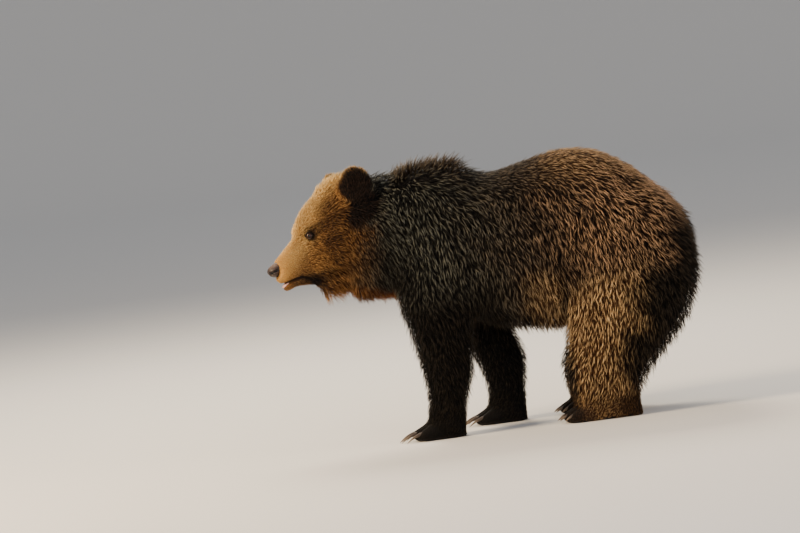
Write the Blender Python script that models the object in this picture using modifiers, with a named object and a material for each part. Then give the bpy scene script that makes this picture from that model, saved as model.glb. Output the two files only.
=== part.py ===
"""A brown bear standing on all fours, its head lowered and turned a little to its left.

Metres, +Z up. The origin is on the floor under the middle of the animal's bounding box. The bear faces -X, and its
left side is at -Y. Every form reaches out to the tips of the coat. The animal is modelled whole, from lofts and
ellipsoids fused into one skin, and then parted with thin cuts into the pieces that a person would name.
"""

import math
from dataclasses import dataclass

import bmesh
import bpy
import numpy as np
from mathutils import Matrix, Vector

# ---------------------------------------------------------------- driving dimensions
RUMP_X = 0.700              # the back of the haunches; the nose is as far the other way
BACK_HEIGHT = 0.898         # top of the rump, out to the coat
HUMP_HEIGHT = 0.925         # top of the shoulder hump, with its raised mane
BELLY_HEIGHT = 0.303        # underside of the belly hair
TRUNK_HALF_WIDTH = 0.238    # half the breadth at the belly

HEAD_EYE_MIDDLE = Vector((-0.568, -0.075, 0.706))   # the point between the eyes
HEAD_TURN = math.radians(20)                        # towards the bear's left
HEAD_PITCH = math.radians(15)                       # nose down
HEAD_LEAN = math.radians(6)                         # crown towards its right
EYE_SPACING = 0.112
EYE_RADIUS = 0.0115
EAR_SPACING = 0.234
EAR_RADIUS = 0.061

LEG_GAP = 0.062             # from the middle plane to the inner side of a leg
FORE_SWING = 0.210          # how far behind the left forepaw the right one stands
CLAWS_PER_PAW = 5
CLAW_BEND = math.radians(45)

CUT = 0.0004                # the thin cut between neighbouring pieces
VOXEL = 0.0085              # grid on which the forms fuse
TRIANGLE_SHARE = 0.025      # of the fused skin's triangles, how many stay
HEAD_DETAIL = 0.985         # 1 thins the head as much as the rest, and less keeps more of it
SKIN_SMOOTHING = 7
RING_POINTS = 40            # round each loft
RINGS_PER_SPAN = 5          # between two key sections

COAT_BROWN = (0.085, 0.050, 0.028, 1)
COAT_DARK = (0.022, 0.016, 0.012, 1)
COAT_GOLD = (0.330, 0.180, 0.075, 1)
NOSE_LEATHER = (0.030, 0.022, 0.022, 1)
EYE_BROWN = (0.045, 0.020, 0.010, 1)
TONGUE_PINK = (0.560, 0.300, 0.270, 1)


# ---------------------------------------------------------------- lofts
@dataclass(frozen=True)
class Section:
    """One cut across a loft: its place along the axis, and how far the outline reaches from the axis."""

    at: float               # along the axis
    high: float             # reach in the loft's up direction
    low: float              # lowest reach in the same direction
    wide: float             # half width
    widest: float = 0.5     # share of the height, from low to high, at which it is widest
    shift: float = 0.0      # the outline's middle, to the side
    power: float = 2.0      # 2 is an ellipse, and more is squarer

    def numbers(self):
        return (self.at, self.high, self.low, self.wide, self.widest, self.shift, self.power)


@dataclass(frozen=True)
class Axes:
    """Where a loft starts, which way it runs, and its side and up directions."""

    origin: Vector
    along: Vector
    side: Vector
    up: Vector

    def point(self, along, side, up):
        return self.origin + self.along * along + self.side * side + self.up * up


WORLD = Axes(Vector((0, 0, 0)), Vector((1, 0, 0)), Vector((0, -1, 0)), Vector((0, 0, 1)))
DOWN_LEG = Axes(Vector((0, 0, 0)), Vector((0, 0, 1)), Vector((0, -1, 0)), Vector((-1, 0, 0)))


def head_axes():
    """The head's own directions: along its gaze, to its left, and up through its crown."""
    turn, pitch = HEAD_TURN, HEAD_PITCH
    gaze = Vector((-math.cos(turn) * math.cos(pitch), -math.sin(turn) * math.cos(pitch), -math.sin(pitch)))
    level = Vector((math.sin(turn), -math.cos(turn), 0))
    left = level * math.cos(HEAD_LEAN) + gaze.cross(level) * math.sin(HEAD_LEAN)
    return Axes(HEAD_EYE_MIDDLE, gaze, left, gaze.cross(left))


def eased(keys, per_span):
    """Catmull-Rom through the key rows, with per_span rows to each span."""
    rows = np.array(keys, float)
    ends = np.vstack([2 * rows[0] - rows[1], rows, 2 * rows[-1] - rows[-2]])
    share = np.arange(per_span)[:, None] / per_span
    made = []
    for before, start, end, after in zip(ends, ends[1:], ends[2:], ends[3:]):
        bend = 2 * before - 5 * start + 4 * end - after
        twist = 3 * (start - end) + after - before
        made.append(start + 0.5 * share * (end - before + share * (bend + share * twist)))
    return np.vstack([*made, rows[-1:]])


def loft(name, axes, sections):
    """A closed skin over the sections, which are superellipses in planes across the axis."""
    rows = eased([s.numbers() for s in sections], RINGS_PER_SPAN)
    angle = np.linspace(0, 2 * math.pi, RING_POINTS, endpoint=False)
    cos, sin = np.cos(angle), np.sin(angle)
    mesh = bmesh.new()
    rings = []
    for at, high, low, wide, widest, shift, power in rows:
        middle = low + widest * (high - low)
        across = shift + wide * np.sign(cos) * np.abs(cos) ** (2 / power)
        rise = np.sign(sin) * np.abs(sin) ** (2 / power)
        upward = middle + np.where(rise > 0, rise * (high - middle), rise * (middle - low))
        rings.append([mesh.verts.new(axes.point(at, a, u)) for a, u in zip(across, upward)])
    for ring, following in zip(rings, rings[1:]):
        for i in range(RING_POINTS):
            j = (i + 1) % RING_POINTS
            mesh.faces.new((ring[i], ring[j], following[j], following[i]))
    mesh.faces.new(rings[0][::-1])
    mesh.faces.new(rings[-1])
    return finished(name, mesh)


def finished(name, mesh):
    """An object of the mesh, with its faces turned outward."""
    mesh.normal_update()
    bmesh.ops.recalc_face_normals(mesh, faces=mesh.faces)
    data = bpy.data.meshes.new(name)
    mesh.to_mesh(data)
    mesh.free()
    made = bpy.data.objects.new(name, data)
    bpy.context.scene.collection.objects.link(made)
    return made


def ellipsoid(name, axes, middle, radii, segments=28):
    """An ellipsoid whose middle and radii are given along, to the side of and up from the axes."""
    mesh = bmesh.new()
    bmesh.ops.create_uvsphere(mesh, u_segments=segments, v_segments=segments // 2, radius=1)
    for vertex in mesh.verts:
        vertex.co = axes.point(*(m + r * c for m, r, c in zip(middle, radii, vertex.co)))
    return finished(name, mesh)


# ---------------------------------------------------------------- the animal's forms
def trunk_and_neck():
    """Barrel, rump, shoulder hump and the root of the neck, in sections square to the spine."""
    wide, back, belly = TRUNK_HALF_WIDTH, BACK_HEIGHT, BELLY_HEIGHT
    return loft("barrel", WORLD, [
        Section(-0.450, 0.820, 0.560, 0.050, 0.50, 0.052),
        Section(-0.420, 0.868, 0.478, 0.125, 0.50, 0.046),
        Section(-0.330, 0.884, 0.466, 0.165, 0.48, 0.030),
        Section(-0.275, 0.888, 0.470, 0.180, 0.46, 0.016),
        Section(-0.215, HUMP_HEIGHT - 0.004, 0.450, 0.198, 0.42, 0.005),
        Section(-0.150, HUMP_HEIGHT, 0.415, 0.212, 0.40),
        Section(-0.085, HUMP_HEIGHT - 0.013, 0.375, 0.219, 0.40),
        Section(-0.020, 0.880, 0.345, 0.224, 0.42),
        Section(0.035, 0.850, belly + 0.022, 0.230, 0.44),
        Section(0.120, 0.862, belly + 0.010, wide - 0.002, 0.46),
        Section(0.210, back - 0.014, belly, wide, 0.47),
        Section(0.310, back, belly, wide, 0.48),
        Section(0.410, back - 0.018, belly + 0.012, wide - 0.004, 0.50),
        Section(0.500, back - 0.066, belly + 0.030, 0.222, 0.50),
        Section(0.580, back - 0.136, belly + 0.055, 0.196, 0.50),
        Section(0.645, back - 0.200, belly + 0.085, 0.150, 0.50),
        Section(RUMP_X - 0.014, back - 0.285, belly + 0.120, 0.085, 0.50),
        Section(RUMP_X - 0.002, back - 0.360, belly + 0.165, 0.030, 0.50),
    ])


def skull():
    """Cranium, cheeks and muzzle, in sections square to the gaze and measured from between the eyes."""
    return loft("skull", head_axes(), [
        Section(-0.285, 0.070, -0.110, 0.085, 0.45),
        Section(-0.250, 0.120, -0.185, 0.128, 0.45),
        Section(-0.190, 0.146, -0.215, 0.140, 0.42, 0, 2.1),
        Section(-0.130, 0.136, -0.200, 0.141, 0.40, 0, 2.1),
        Section(-0.080, 0.118, -0.184, 0.128, 0.38, 0, 2.1),
        Section(-0.040, 0.102, -0.170, 0.100, 0.34, 0, 2.1),
        Section(-0.005, 0.080, -0.158, 0.073, 0.31, 0, 2.0),
        Section(0.026, 0.050, -0.148, 0.060, 0.36, 0, 2.1),
        Section(0.052, 0.007, -0.142, 0.053, 0.42, 0, 2.4),
        Section(0.085, -0.008, -0.140, 0.046, 0.48, 0, 2.5),
        Section(0.118, -0.026, -0.138, 0.041, 0.52, 0, 2.5),
        Section(0.142, -0.040, -0.128, 0.034, 0.55, 0, 2.4),
        Section(0.156, -0.048, -0.098, 0.023, 0.55, 0, 2.2),
    ])


def face_forms():
    """Brows, cheek ruffs, the nose's root and the chin, which the skull's sections leave out."""
    axes = head_axes()
    forms = [
        ellipsoid("nose_root", axes, (0.140, 0, -0.060), (0.021, 0.026, 0.022)),
        ellipsoid("chin", axes, (0.118, 0, -0.125), (0.026, 0.024, 0.015)),
        ellipsoid("throat_ruff", axes, (-0.030, 0, -0.178), (0.070, 0.070, 0.040)),
    ]
    for left in (1, -1):
        forms += [
            ellipsoid(f"brow_{left}", axes, (0.006, left * 0.036, 0.030), (0.030, 0.022, 0.018)),
            ellipsoid(f"cheek_{left}", axes, (-0.085, left * 0.085, -0.080), (0.075, 0.056, 0.085)),
        ]
    return forms


def ear_axes(left):
    """Directions of an ear: out of its opening, along its rim, and up to its tip."""
    head = head_axes()
    opening = (0.44 * head.along + 0.86 * left * head.side + 0.10 * head.up).normalized()
    tip = (head.up - 0.16 * head.along + 0.10 * left * head.side).normalized()
    rim = opening.cross(tip).normalized()
    return Axes(head.point(-0.190, left * EAR_SPACING / 2, 0.090), opening, rim, rim.cross(opening))


def ear(left):
    """A round ear: a thick disc that narrows to its root, hollowed on the side that it opens to."""
    axes, radius = ear_axes(left), EAR_RADIUS
    disc = ellipsoid(f"ear_disc_{left}", axes, (0, 0, 0.004), (0.022, radius, radius + 0.006))
    root = ellipsoid(f"ear_root_{left}", axes, (-0.012, 0, -0.045), (0.034, radius * 0.86, 0.042))
    scoop = ellipsoid("scoop", axes, (0.029, 0, 0.004), (0.026, radius * 0.66, radius * 0.70))
    combine(disc, scoop, "DIFFERENCE")
    remove(scoop)
    return [disc, root]


def leg_sections(rows, left, swing, hip_height):
    """Level sections of a leg, from rows of height, front, back, outer and inner. The swing grows down the leg."""
    made = []
    for height, front, back, outer, inner in rows:
        down = min(1, max(0, 1 - height / hip_height))
        behind = swing * math.sin(down * math.pi / 2)
        made.append(Section(height, -(front + behind), -(back + behind), (outer - inner) / 2, 0.5,
                            left * (outer + inner) / 2, 2.2))
    return made


def foreleg(left, swing):
    """Shoulder, upper arm and forearm down to the wrist."""
    rows = [
        (0.830, -0.110, -0.010, 0.110, 0.030),
        (0.760, -0.190, 0.030, 0.188, 0.030),
        (0.680, -0.248, 0.052, 0.222, 0.030),
        (0.600, -0.284, 0.056, 0.236, 0.030),
        (0.520, -0.301, 0.034, 0.240, 0.036),
        (0.440, -0.300, -0.004, 0.236, 0.048),
        (0.370, -0.286, -0.038, 0.224, 0.060),
        (0.300, -0.266, -0.058, 0.210, LEG_GAP),
        (0.220, -0.251, -0.062, 0.200, LEG_GAP + 0.004),
        (0.150, -0.242, -0.084, 0.192, LEG_GAP + 0.008),
        (0.090, -0.243, -0.106, 0.188, LEG_GAP + 0.008),
        (0.045, -0.250, -0.112, 0.186, LEG_GAP + 0.010),
    ]
    return loft(f"foreleg_{left}", DOWN_LEG, leg_sections(rows, left, swing, 0.62))


def hind_leg(left):
    """Haunch, thigh and shank down to the heel."""
    rows = [
        (0.800, 0.360, 0.520, 0.130, 0.020),
        (0.720, 0.302, 0.610, 0.200, 0.020),
        (0.630, 0.262, 0.668, 0.232, 0.020),
        (0.540, 0.242, 0.696, 0.246, 0.020),
        (0.440, 0.236, RUMP_X, 0.250, 0.024),
        (0.360, 0.238, 0.676, 0.244, 0.036),
        (0.290, 0.240, 0.640, 0.232, 0.050),
        (0.210, 0.230, 0.574, 0.216, LEG_GAP - 0.002),
        (0.140, 0.229, 0.508, 0.204, LEG_GAP + 0.004),
        (0.085, 0.238, 0.470, 0.196, LEG_GAP + 0.008),
        (0.040, 0.246, 0.456, 0.192, LEG_GAP + 0.010),
    ]
    return loft(f"hind_leg_{left}", DOWN_LEG, leg_sections(rows, left, 0, 0.6))


@dataclass(frozen=True)
class Paw:
    """A paw's place and size: its toes point to -X, and its sole is at the floor."""

    name: str
    left: int
    toes: float             # x of the toe tips
    heel: float             # x of the heel
    middle: float           # from the middle plane to the paw's middle
    half_width: float = 0.062
    height: float = 0.082
    claw: float = 0.078     # length of a claw

    @property
    def length(self):
        return self.heel - self.toes

    def toe(self, number):
        """Middle of a toe's tip: the middle toe stands furthest forward."""
        across = (number - (CLAWS_PER_PAW - 1) / 2) / ((CLAWS_PER_PAW - 1) / 2)
        return self.toes + 0.030 + 0.024 * across**2, self.left * self.middle + across * self.half_width * 0.74


def paw_forms(paw):
    """The pad and instep, and the toes."""
    size, heel, side = paw.length, paw.heel, paw.left * paw.middle
    pad = loft(f"pad_{paw.name}", WORLD, [
        Section(paw.toes + 0.012, 0.034, -0.012, paw.half_width * 0.60, 0.4, side, 2.2),
        Section(paw.toes + 0.040, 0.052, -0.012, paw.half_width * 0.94, 0.4, side, 2.4),
        Section(paw.toes + size * 0.42, paw.height, -0.012, paw.half_width, 0.35, side, 2.4),
        Section(paw.toes + size * 0.72, paw.height + 0.016, -0.012, paw.half_width * 0.96, 0.35, side, 2.2),
        Section(heel, 0.050, -0.012, paw.half_width * 0.70, 0.4, side, 2.2),
    ])
    toes = []
    for number in range(CLAWS_PER_PAW):
        x, aside = paw.toe(number)
        toes.append(ellipsoid(f"toe_{paw.name}_{number}", WORLD, (x, aside, 0.021), (0.030, 0.0152, 0.022), 16))
    return [pad, *toes]


def claw(paw, number):
    """A curved claw: a tapering tube that leaves the toe forwards and bends down to the floor."""
    x, aside = paw.toe(number)
    curve = bpy.data.curves.new("claw", "CURVE")
    curve.dimensions = "3D"
    curve.bevel_depth = 0.0052
    curve.bevel_resolution = 1
    curve.use_fill_caps = True
    spline = curve.splines.new("POLY")
    steps = 4
    spline.points.add(steps)
    for step, point in enumerate(spline.points):
        share = step / steps
        bend = share * CLAW_BEND
        run = paw.claw * math.sin(bend) / CLAW_BEND
        drop = paw.claw * (1 - math.cos(bend)) / CLAW_BEND
        point.co = (x + 0.012 - run, -aside, 0.037 - drop, 1)
        point.radius = 1 - 0.72 * share**1.5
    piece = bpy.data.objects.new("claw", curve)
    bpy.context.scene.collection.objects.link(piece)
    return as_mesh(piece)


# ---------------------------------------------------------------- Blender helpers
def evaluated_mesh(piece):
    graph = bpy.context.evaluated_depsgraph_get()
    return bpy.data.meshes.new_from_object(piece.evaluated_get(graph), depsgraph=graph)


def as_mesh(piece):
    """The curve's closed mesh, with its caps welded, in place of the curve."""
    data = evaluated_mesh(piece)
    mesh = bmesh.new()
    mesh.from_mesh(data)
    bmesh.ops.remove_doubles(mesh, verts=mesh.verts, dist=0.00001)
    mesh.to_mesh(data)
    mesh.free()
    made = bpy.data.objects.new(piece.name + "_mesh", data)
    made.matrix_world = piece.matrix_world
    bpy.context.scene.collection.objects.link(made)
    remove(piece)
    return made


def remove(*pieces):
    for piece in pieces:
        bpy.data.objects.remove(piece)


def settle(piece):
    """Replaces the piece's mesh with what its modifiers make of it."""
    data = evaluated_mesh(piece)
    piece.modifiers.clear()
    piece.data = data


def combine(piece, other, operation):
    """Applies one exact Boolean of the other mesh to the piece."""
    modifier = piece.modifiers.new(operation.lower(), "BOOLEAN")
    modifier.operation = operation
    modifier.object = other
    modifier.solver = "EXACT"
    settle(piece)


def joined(name, pieces):
    """All the pieces' meshes in one object, still separate shells."""
    mesh = bmesh.new()
    for piece in pieces:
        mesh.from_mesh(piece.data)
    remove(*pieces)
    return finished(name, mesh)


def fused(name, pieces):
    """One skin over overlapping forms: a voxel remesh, smoothed, and thinned to a working number of triangles."""
    whole = joined(name, pieces)
    remesh = whole.modifiers.new("fuse", "REMESH")
    remesh.mode = "VOXEL"
    remesh.voxel_size = VOXEL
    smooth = whole.modifiers.new("smooth", "SMOOTH")
    smooth.factor = 0.5
    smooth.iterations = SKIN_SMOOTHING
    settle(whole)
    rest = whole.vertex_groups.new(name="rest")
    axes = head_axes()
    for vertex in whole.data.vertices:
        apart = (vertex.co - axes.point(-0.05, 0, -0.02)).length
        rest.add([vertex.index], HEAD_DETAIL if apart < 0.26 else 1, "REPLACE")
    thin = whole.modifiers.new("thin", "DECIMATE")
    thin.ratio = TRIANGLE_SHARE
    thin.vertex_group = rest.name
    settle(whole)
    return whole


def box(name, axes, lowest, highest, margin):
    """A box between two corners along the axes, grown by the margin on every side."""
    mesh = bmesh.new()
    bmesh.ops.create_cube(mesh, size=1)
    low, high = Vector(lowest) - Vector((margin,) * 3), Vector(highest) + Vector((margin,) * 3)
    for vertex in mesh.verts:
        share = vertex.co + Vector((0.5, 0.5, 0.5))
        vertex.co = axes.point(*(low[i] + share[i] * (high[i] - low[i]) for i in range(3)))
    return finished(name, mesh)


def slab(name, outline, axes, near, far, margin):
    """A flat outline of (along, up) points, grown by the margin and drawn out sideways from near to far."""
    points = [Vector(p) for p in outline]
    area = sum(a.cross(b) for a, b in zip(points, points[1:] + points[:1]))
    outward = math.copysign(1, area)
    mesh = bmesh.new()
    rings = []
    for side in (near - margin, far + margin):
        ring = []
        for i, point in enumerate(points):
            before = (point - points[i - 1]).normalized()
            after = (points[(i + 1) % len(points)] - point).normalized()
            normal = (before + after).normalized()
            spread = margin / max(0.5, normal.dot(after))
            grown = point + outward * spread * Vector((normal.y, -normal.x))
            ring.append(mesh.verts.new(axes.point(grown.x, side, grown.y)))
        rings.append(ring)
    for i in range(len(points)):
        j = (i + 1) % len(points)
        mesh.faces.new((rings[0][i], rings[0][j], rings[1][j], rings[1][i]))
    mesh.faces.new(rings[0][::-1])
    mesh.faces.new(rings[1])
    return finished(name, mesh)


def largest_shell(piece):
    """Drops the crumbs that a cut leaves, and keeps the largest closed shell."""
    mesh = bmesh.new()
    mesh.from_mesh(piece.data)
    left, shells = set(mesh.verts), []
    while left:
        shell, queue = set(), [left.pop()]
        while queue:
            vertex = queue.pop()
            shell.add(vertex)
            for edge in vertex.link_edges:
                other = edge.other_vert(vertex)
                if other in left:
                    left.discard(other)
                    queue.append(other)
        shells.append(shell)
    keep = max(shells, key=len)
    bmesh.ops.delete(mesh, geom=[v for v in mesh.verts if v not in keep], context="VERTS")
    mesh.to_mesh(piece.data)
    mesh.free()


def parted(body, name, volume):
    """Takes the part of the body inside a volume off as a piece of its own. volume(margin) builds the cutter."""
    piece = bpy.data.objects.new(name, body.data.copy())
    bpy.context.scene.collection.objects.link(piece)
    inside, around = volume(0), volume(CUT)
    combine(piece, inside, "INTERSECT")
    combine(body, around, "DIFFERENCE")
    remove(inside, around)
    largest_shell(piece)
    return piece


def dressed(piece, colour, roughness):
    """Shades the piece smooth and gives it its plain material."""
    material = bpy.data.materials.new(piece.name + "_material")
    material.use_nodes = True
    shader = material.node_tree.nodes["Principled BSDF"]
    shader.inputs["Base Color"].default_value = colour
    shader.inputs["Roughness"].default_value = roughness
    shader.inputs["Metallic"].default_value = 0
    piece.data.materials.clear()
    piece.data.materials.append(material)
    piece.data.shade_smooth()
    return piece


# ---------------------------------------------------------------- where the pieces part
def ear_volume(left):
    """An ellipsoid a little wider than the ear's disc, which leaves its root with the head."""
    axes = ear_axes(left)
    thick, wide, tall = 0.036, EAR_RADIUS + 0.010, EAR_RADIUS + 0.014
    return lambda margin: ellipsoid("cutter", axes, (0.004, 0, 0.010), (thick + margin, wide + margin, tall + margin), 24)


def nose_volume(margin):
    """The bare pad at the end of the muzzle, parted on a plane that leans with its edge."""
    axes = head_axes()
    outline = [(0.140, -0.086), (0.200, -0.092), (0.200, -0.020), (0.139, -0.020), (0.133, -0.050)]
    return slab("cutter", outline, axes, -0.05, 0.05, margin)


MOUTH_CORNER = (0.084, -0.109)      # where the lips start to open, ahead of and above the eye line
MOUTH = [(0.200, -0.120), MOUTH_CORNER, (0.062, -0.110), (0.048, -0.116)]


def mouth_gap(margin):
    """The wedge between the parted lips."""
    return slab("cutter", [MOUTH_CORNER, (0.200, -0.135), (0.200, -0.106)], head_axes(), -0.15, 0.15, margin)


def jaw_volume(margin):
    """The lower jaw: below the mouth line, forward of the throat."""
    outline = [*MOUTH[::-1], (0.200, -0.240), (0.048, -0.240)]
    return slab("cutter", outline, head_axes(), -0.15, 0.15, margin)


def head_volume(margin):
    """All in front of a plane that runs from behind the ears to the throat."""
    outline = [(-0.296, 0.960), (-0.440, 0.420), (-0.900, 0.420), (-0.900, 0.960)]
    return slab("cutter", outline, WORLD, -0.40, 0.40, margin)


def neck_volume(margin):
    """Between the head and the shoulders."""
    outline = [(-0.205, 0.990), (-0.295, 0.440), (-0.900, 0.440), (-0.900, 0.990)]
    return slab("cutter", outline, WORLD, -0.40, 0.40, margin)


def fore_volume(left, swing):
    """A tongue-shaped block round a foreleg, up to the top of the shoulder."""
    upper = [(-0.322, 0.500), (-0.290, 0.600), (-0.235, 0.690), (-0.160, 0.740), (-0.075, 0.740), (0.010, 0.690),
             (0.052, 0.600), (0.052, 0.500), (0.030, 0.400)]
    lower = [(0.012 + swing * 0.62, 0.340), (0.020 + swing * 0.85, 0.240), (0.020 + swing, -0.05),
             (-0.430 + swing, -0.05), (-0.400 + swing * 0.5, 0.400)]
    near, far = sorted((left * 0.052, left * 0.45))
    outline = upper + lower
    return lambda margin: slab("cutter", outline, WORLD, near, far, margin)


def hind_volume(left):
    """A tongue-shaped block round a hind leg, up to the top of the haunch."""
    outline = [(0.120, -0.05), (0.150, 0.180), (0.214, 0.290), (0.224, 0.450), (0.262, 0.600), (0.330, 0.700),
               (0.420, 0.738), (0.520, 0.730), (0.620, 0.690), (0.780, 0.640), (0.780, -0.05)]
    near, far = sorted((left * 0.052, left * 0.45))
    return lambda margin: slab("cutter", outline, WORLD, near, far, margin)


def below(height, lean=0.0):
    """All of a leg under a height, on a plane that rises by lean from front to back."""
    outline = [(-1, height - lean), (-1, -0.1), (1, -0.1), (1, height + lean)]
    return lambda margin: slab("cutter", outline, WORLD, -0.6, 0.6, margin)


# ---------------------------------------------------------------- the pieces
def build_body(paws):
    """The whole animal as one skin, with its soles cut flat at the floor."""
    forms = [trunk_and_neck(), skull(), *face_forms(), *ear(1), *ear(-1), tail_form()]
    forms += [foreleg(1, 0), foreleg(-1, FORE_SWING), hind_leg(1), hind_leg(-1)]
    for paw in paws:
        forms += paw_forms(paw)
    body = fused("body", forms)
    floor = box("cutter", WORLD, (-1, -1, -0.2), (1, 1, 0), 0)
    combine(body, floor, "DIFFERENCE")
    remove(floor)
    return body


def tail_form():
    """The short tail, which hangs close against the rump."""
    axes = Axes(Vector((0.658, 0, 0.630)), Vector((0.26, 0, -0.965)), Vector((0, -1, 0)), Vector((0.965, 0, 0.26)))
    return ellipsoid("tail_form", axes, (0.030, 0, 0.014), (0.060, 0.030, 0.022), 20)


def tail_volume(margin):
    return box("cutter", WORLD, (0.676, -0.045, 0.535), (0.780, 0.045, 0.700), margin)


def eyes_and_sockets(head):
    """Two eyeballs, each in a socket cut a hair wider."""
    axes, made = head_axes(), []
    for side, left in (("left", 1), ("right", -1)):
        middle = (0.003, left * EYE_SPACING / 2, 0.0)
        socket = ellipsoid("cutter", axes, middle, (EYE_RADIUS + CUT,) * 3, 16)
        combine(head, socket, "DIFFERENCE")
        remove(socket)
        made.append(dressed(ellipsoid(f"eye_{side}", axes, middle, (EYE_RADIUS,) * 3, 16), EYE_BROWN, 0.15))
    largest_shell(head)
    return made


def tongue():
    """The tip of the tongue, which shows between the lips and leans with the lower one."""
    head = head_axes()
    along = (head.along - 0.1 * head.up).normalized()
    axes = Axes(head.point(0.124, 0, -0.1128), along, head.side, along.cross(head.side))
    return ellipsoid("tongue", axes, (0, 0, 0), (0.018, 0.012, 0.0028), 16)


def clawed(piece, paw):
    """The paw with its claws grown on."""
    for number in range(CLAWS_PER_PAW):
        tip = claw(paw, number)
        combine(piece, tip, "UNION")
        remove(tip)
    return piece


def main():
    for old in list(bpy.data.objects):
        bpy.data.objects.remove(old)
    paws = {
        "forepaw_left": Paw("forepaw_left", 1, -0.300, -0.118, 0.130),
        "forepaw_right": Paw("forepaw_right", -1, -0.300 + FORE_SWING, -0.118 + FORE_SWING, 0.130),
        "hind_paw_left": Paw("hind_paw_left", 1, 0.196, 0.462, 0.134, 0.060, 0.076, 0.064),
        "hind_paw_right": Paw("hind_paw_right", -1, 0.196, 0.462, 0.134, 0.060, 0.076, 0.064),
    }
    body = build_body(paws.values())
    pieces = []
    for side, left in (("left", 1), ("right", -1)):
        pieces.append(dressed(parted(body, f"ear_{side}", ear_volume(left)), COAT_DARK, 0.8))
    pieces.append(dressed(parted(body, "nose", nose_volume), NOSE_LEATHER, 0.35))
    head = parted(body, "head", head_volume)
    gap = mouth_gap(0)
    combine(head, gap, "DIFFERENCE")
    remove(gap)
    jaw = parted(head, "jaw", jaw_volume)
    pieces.append(dressed(tongue(), TONGUE_PINK, 0.3))
    pieces += [*eyes_and_sockets(head), dressed(head, COAT_GOLD, 0.8), dressed(jaw, COAT_GOLD, 0.8)]
    pieces.append(dressed(parted(body, "tail", tail_volume), COAT_BROWN, 0.8))
    for side, left, swing in (("left", 1, 0), ("right", -1, FORE_SWING)):
        leg = parted(body, f"shoulder_{side}", fore_volume(left, swing))
        lower = parted(leg, f"forearm_{side}", below(0.350))
        paw = parted(lower, f"forepaw_{side}", below(0.088))
        clawed(paw, paws[paw.name])
        pieces += [dressed(leg, COAT_DARK, 0.8), dressed(lower, COAT_DARK, 0.8), dressed(paw, COAT_DARK, 0.8)]
    for side, left in (("left", 1), ("right", -1)):
        leg = parted(body, f"thigh_{side}", hind_volume(left))
        lower = parted(leg, f"shank_{side}", below(0.268))
        paw = parted(lower, f"hind_paw_{side}", below(0.080))
        clawed(paw, paws[paw.name])
        pieces += [dressed(leg, COAT_BROWN, 0.8), dressed(lower, COAT_BROWN, 0.8), dressed(paw, COAT_DARK, 0.8)]
    pieces.append(dressed(parted(body, "neck", neck_volume), COAT_DARK, 0.8))
    largest_shell(body)
    body.name = "trunk"
    pieces.append(dressed(body, COAT_BROWN, 0.8))
    bear = bpy.data.collections.new("brown_bear")
    bpy.context.scene.collection.children.link(bear)
    for piece in pieces:
        bpy.context.scene.collection.objects.unlink(piece)
        bear.objects.link(piece)


main()
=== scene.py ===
"""A life-size brown bear in its winter coat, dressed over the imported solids.

One skin is drawn from the solids of flesh, moved inward by the depth of the coat. The coat is mesh: locks of
tapering hairs that start on the skin and follow the lie of the fur. Eyes, lids, nose, tongue and claws are
pieces of their own. Lengths are in metres unless a name or a comment says millimetres. A place is x, y and z
in the world, and u, v and w on the head's axes: along the gaze, to the head's left, and up.
"""

import logging
import math
from collections.abc import Iterator, Sequence
from contextlib import contextmanager
from dataclasses import dataclass, field
from enum import Enum
from typing import ClassVar

import bmesh
import bpy
import numpy as np
from mathutils import Matrix, Vector
from mathutils.bvhtree import BVHTree


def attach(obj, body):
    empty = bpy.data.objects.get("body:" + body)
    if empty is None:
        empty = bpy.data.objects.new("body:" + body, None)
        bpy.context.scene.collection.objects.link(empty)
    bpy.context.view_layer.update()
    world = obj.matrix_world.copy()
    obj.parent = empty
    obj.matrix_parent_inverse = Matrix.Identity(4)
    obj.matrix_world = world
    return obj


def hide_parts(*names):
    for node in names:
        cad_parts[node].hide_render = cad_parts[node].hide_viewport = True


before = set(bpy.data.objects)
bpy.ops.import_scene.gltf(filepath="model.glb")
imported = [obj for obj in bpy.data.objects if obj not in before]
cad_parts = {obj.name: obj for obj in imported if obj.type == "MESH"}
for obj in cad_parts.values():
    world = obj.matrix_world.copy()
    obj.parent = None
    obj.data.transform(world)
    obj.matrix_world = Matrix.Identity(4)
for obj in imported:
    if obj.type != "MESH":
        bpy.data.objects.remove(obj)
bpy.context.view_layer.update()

MM = 0.001
Array = np.ndarray
log = logging.getLogger("bear")


# ---------------------------------------------------------------- numbers and meshes
class Side(Enum):
    """The bear's own sides. Its left faces -Y."""

    LEFT = 1
    RIGHT = -1

    @property
    def word(self) -> str:
        """The side's name in piece and node names."""
        return self.name.lower()


def smooth(low: float, high: float, value: Array) -> Array:
    """An S-shaped step: 0 up to low, 1 from high on, and 3t^2 - 2t^3 between them.

    Args:
        low: where the step starts; it may be above high for a falling step.
        high: where the step ends.
        value: the numbers to map.

    Returns:
        An array from 0 to 1.
    """
    share = np.clip((value - low) / (high - low), 0.0, 1.0)
    return share * share * (3.0 - 2.0 * share)


def bell(value: Array, width: Array | float) -> Array:
    """A bell curve: 1 where the value is 0, and 1/e where it is as large as the width."""
    return np.exp(-(value / width) ** 2)


def spot(first: Array, width: float, second: Array, height: float) -> Array:
    """A soft oval patch: a bell curve of one width over the first values and of another over the second."""
    return np.exp(-((first / width) ** 2 + (second / height) ** 2))


def rows_of(*columns: Array | float) -> Array:
    """Rows of numbers from their columns, where a single number stands for a whole column."""
    return np.stack(np.broadcast_arrays(*columns), axis=-1)


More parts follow.
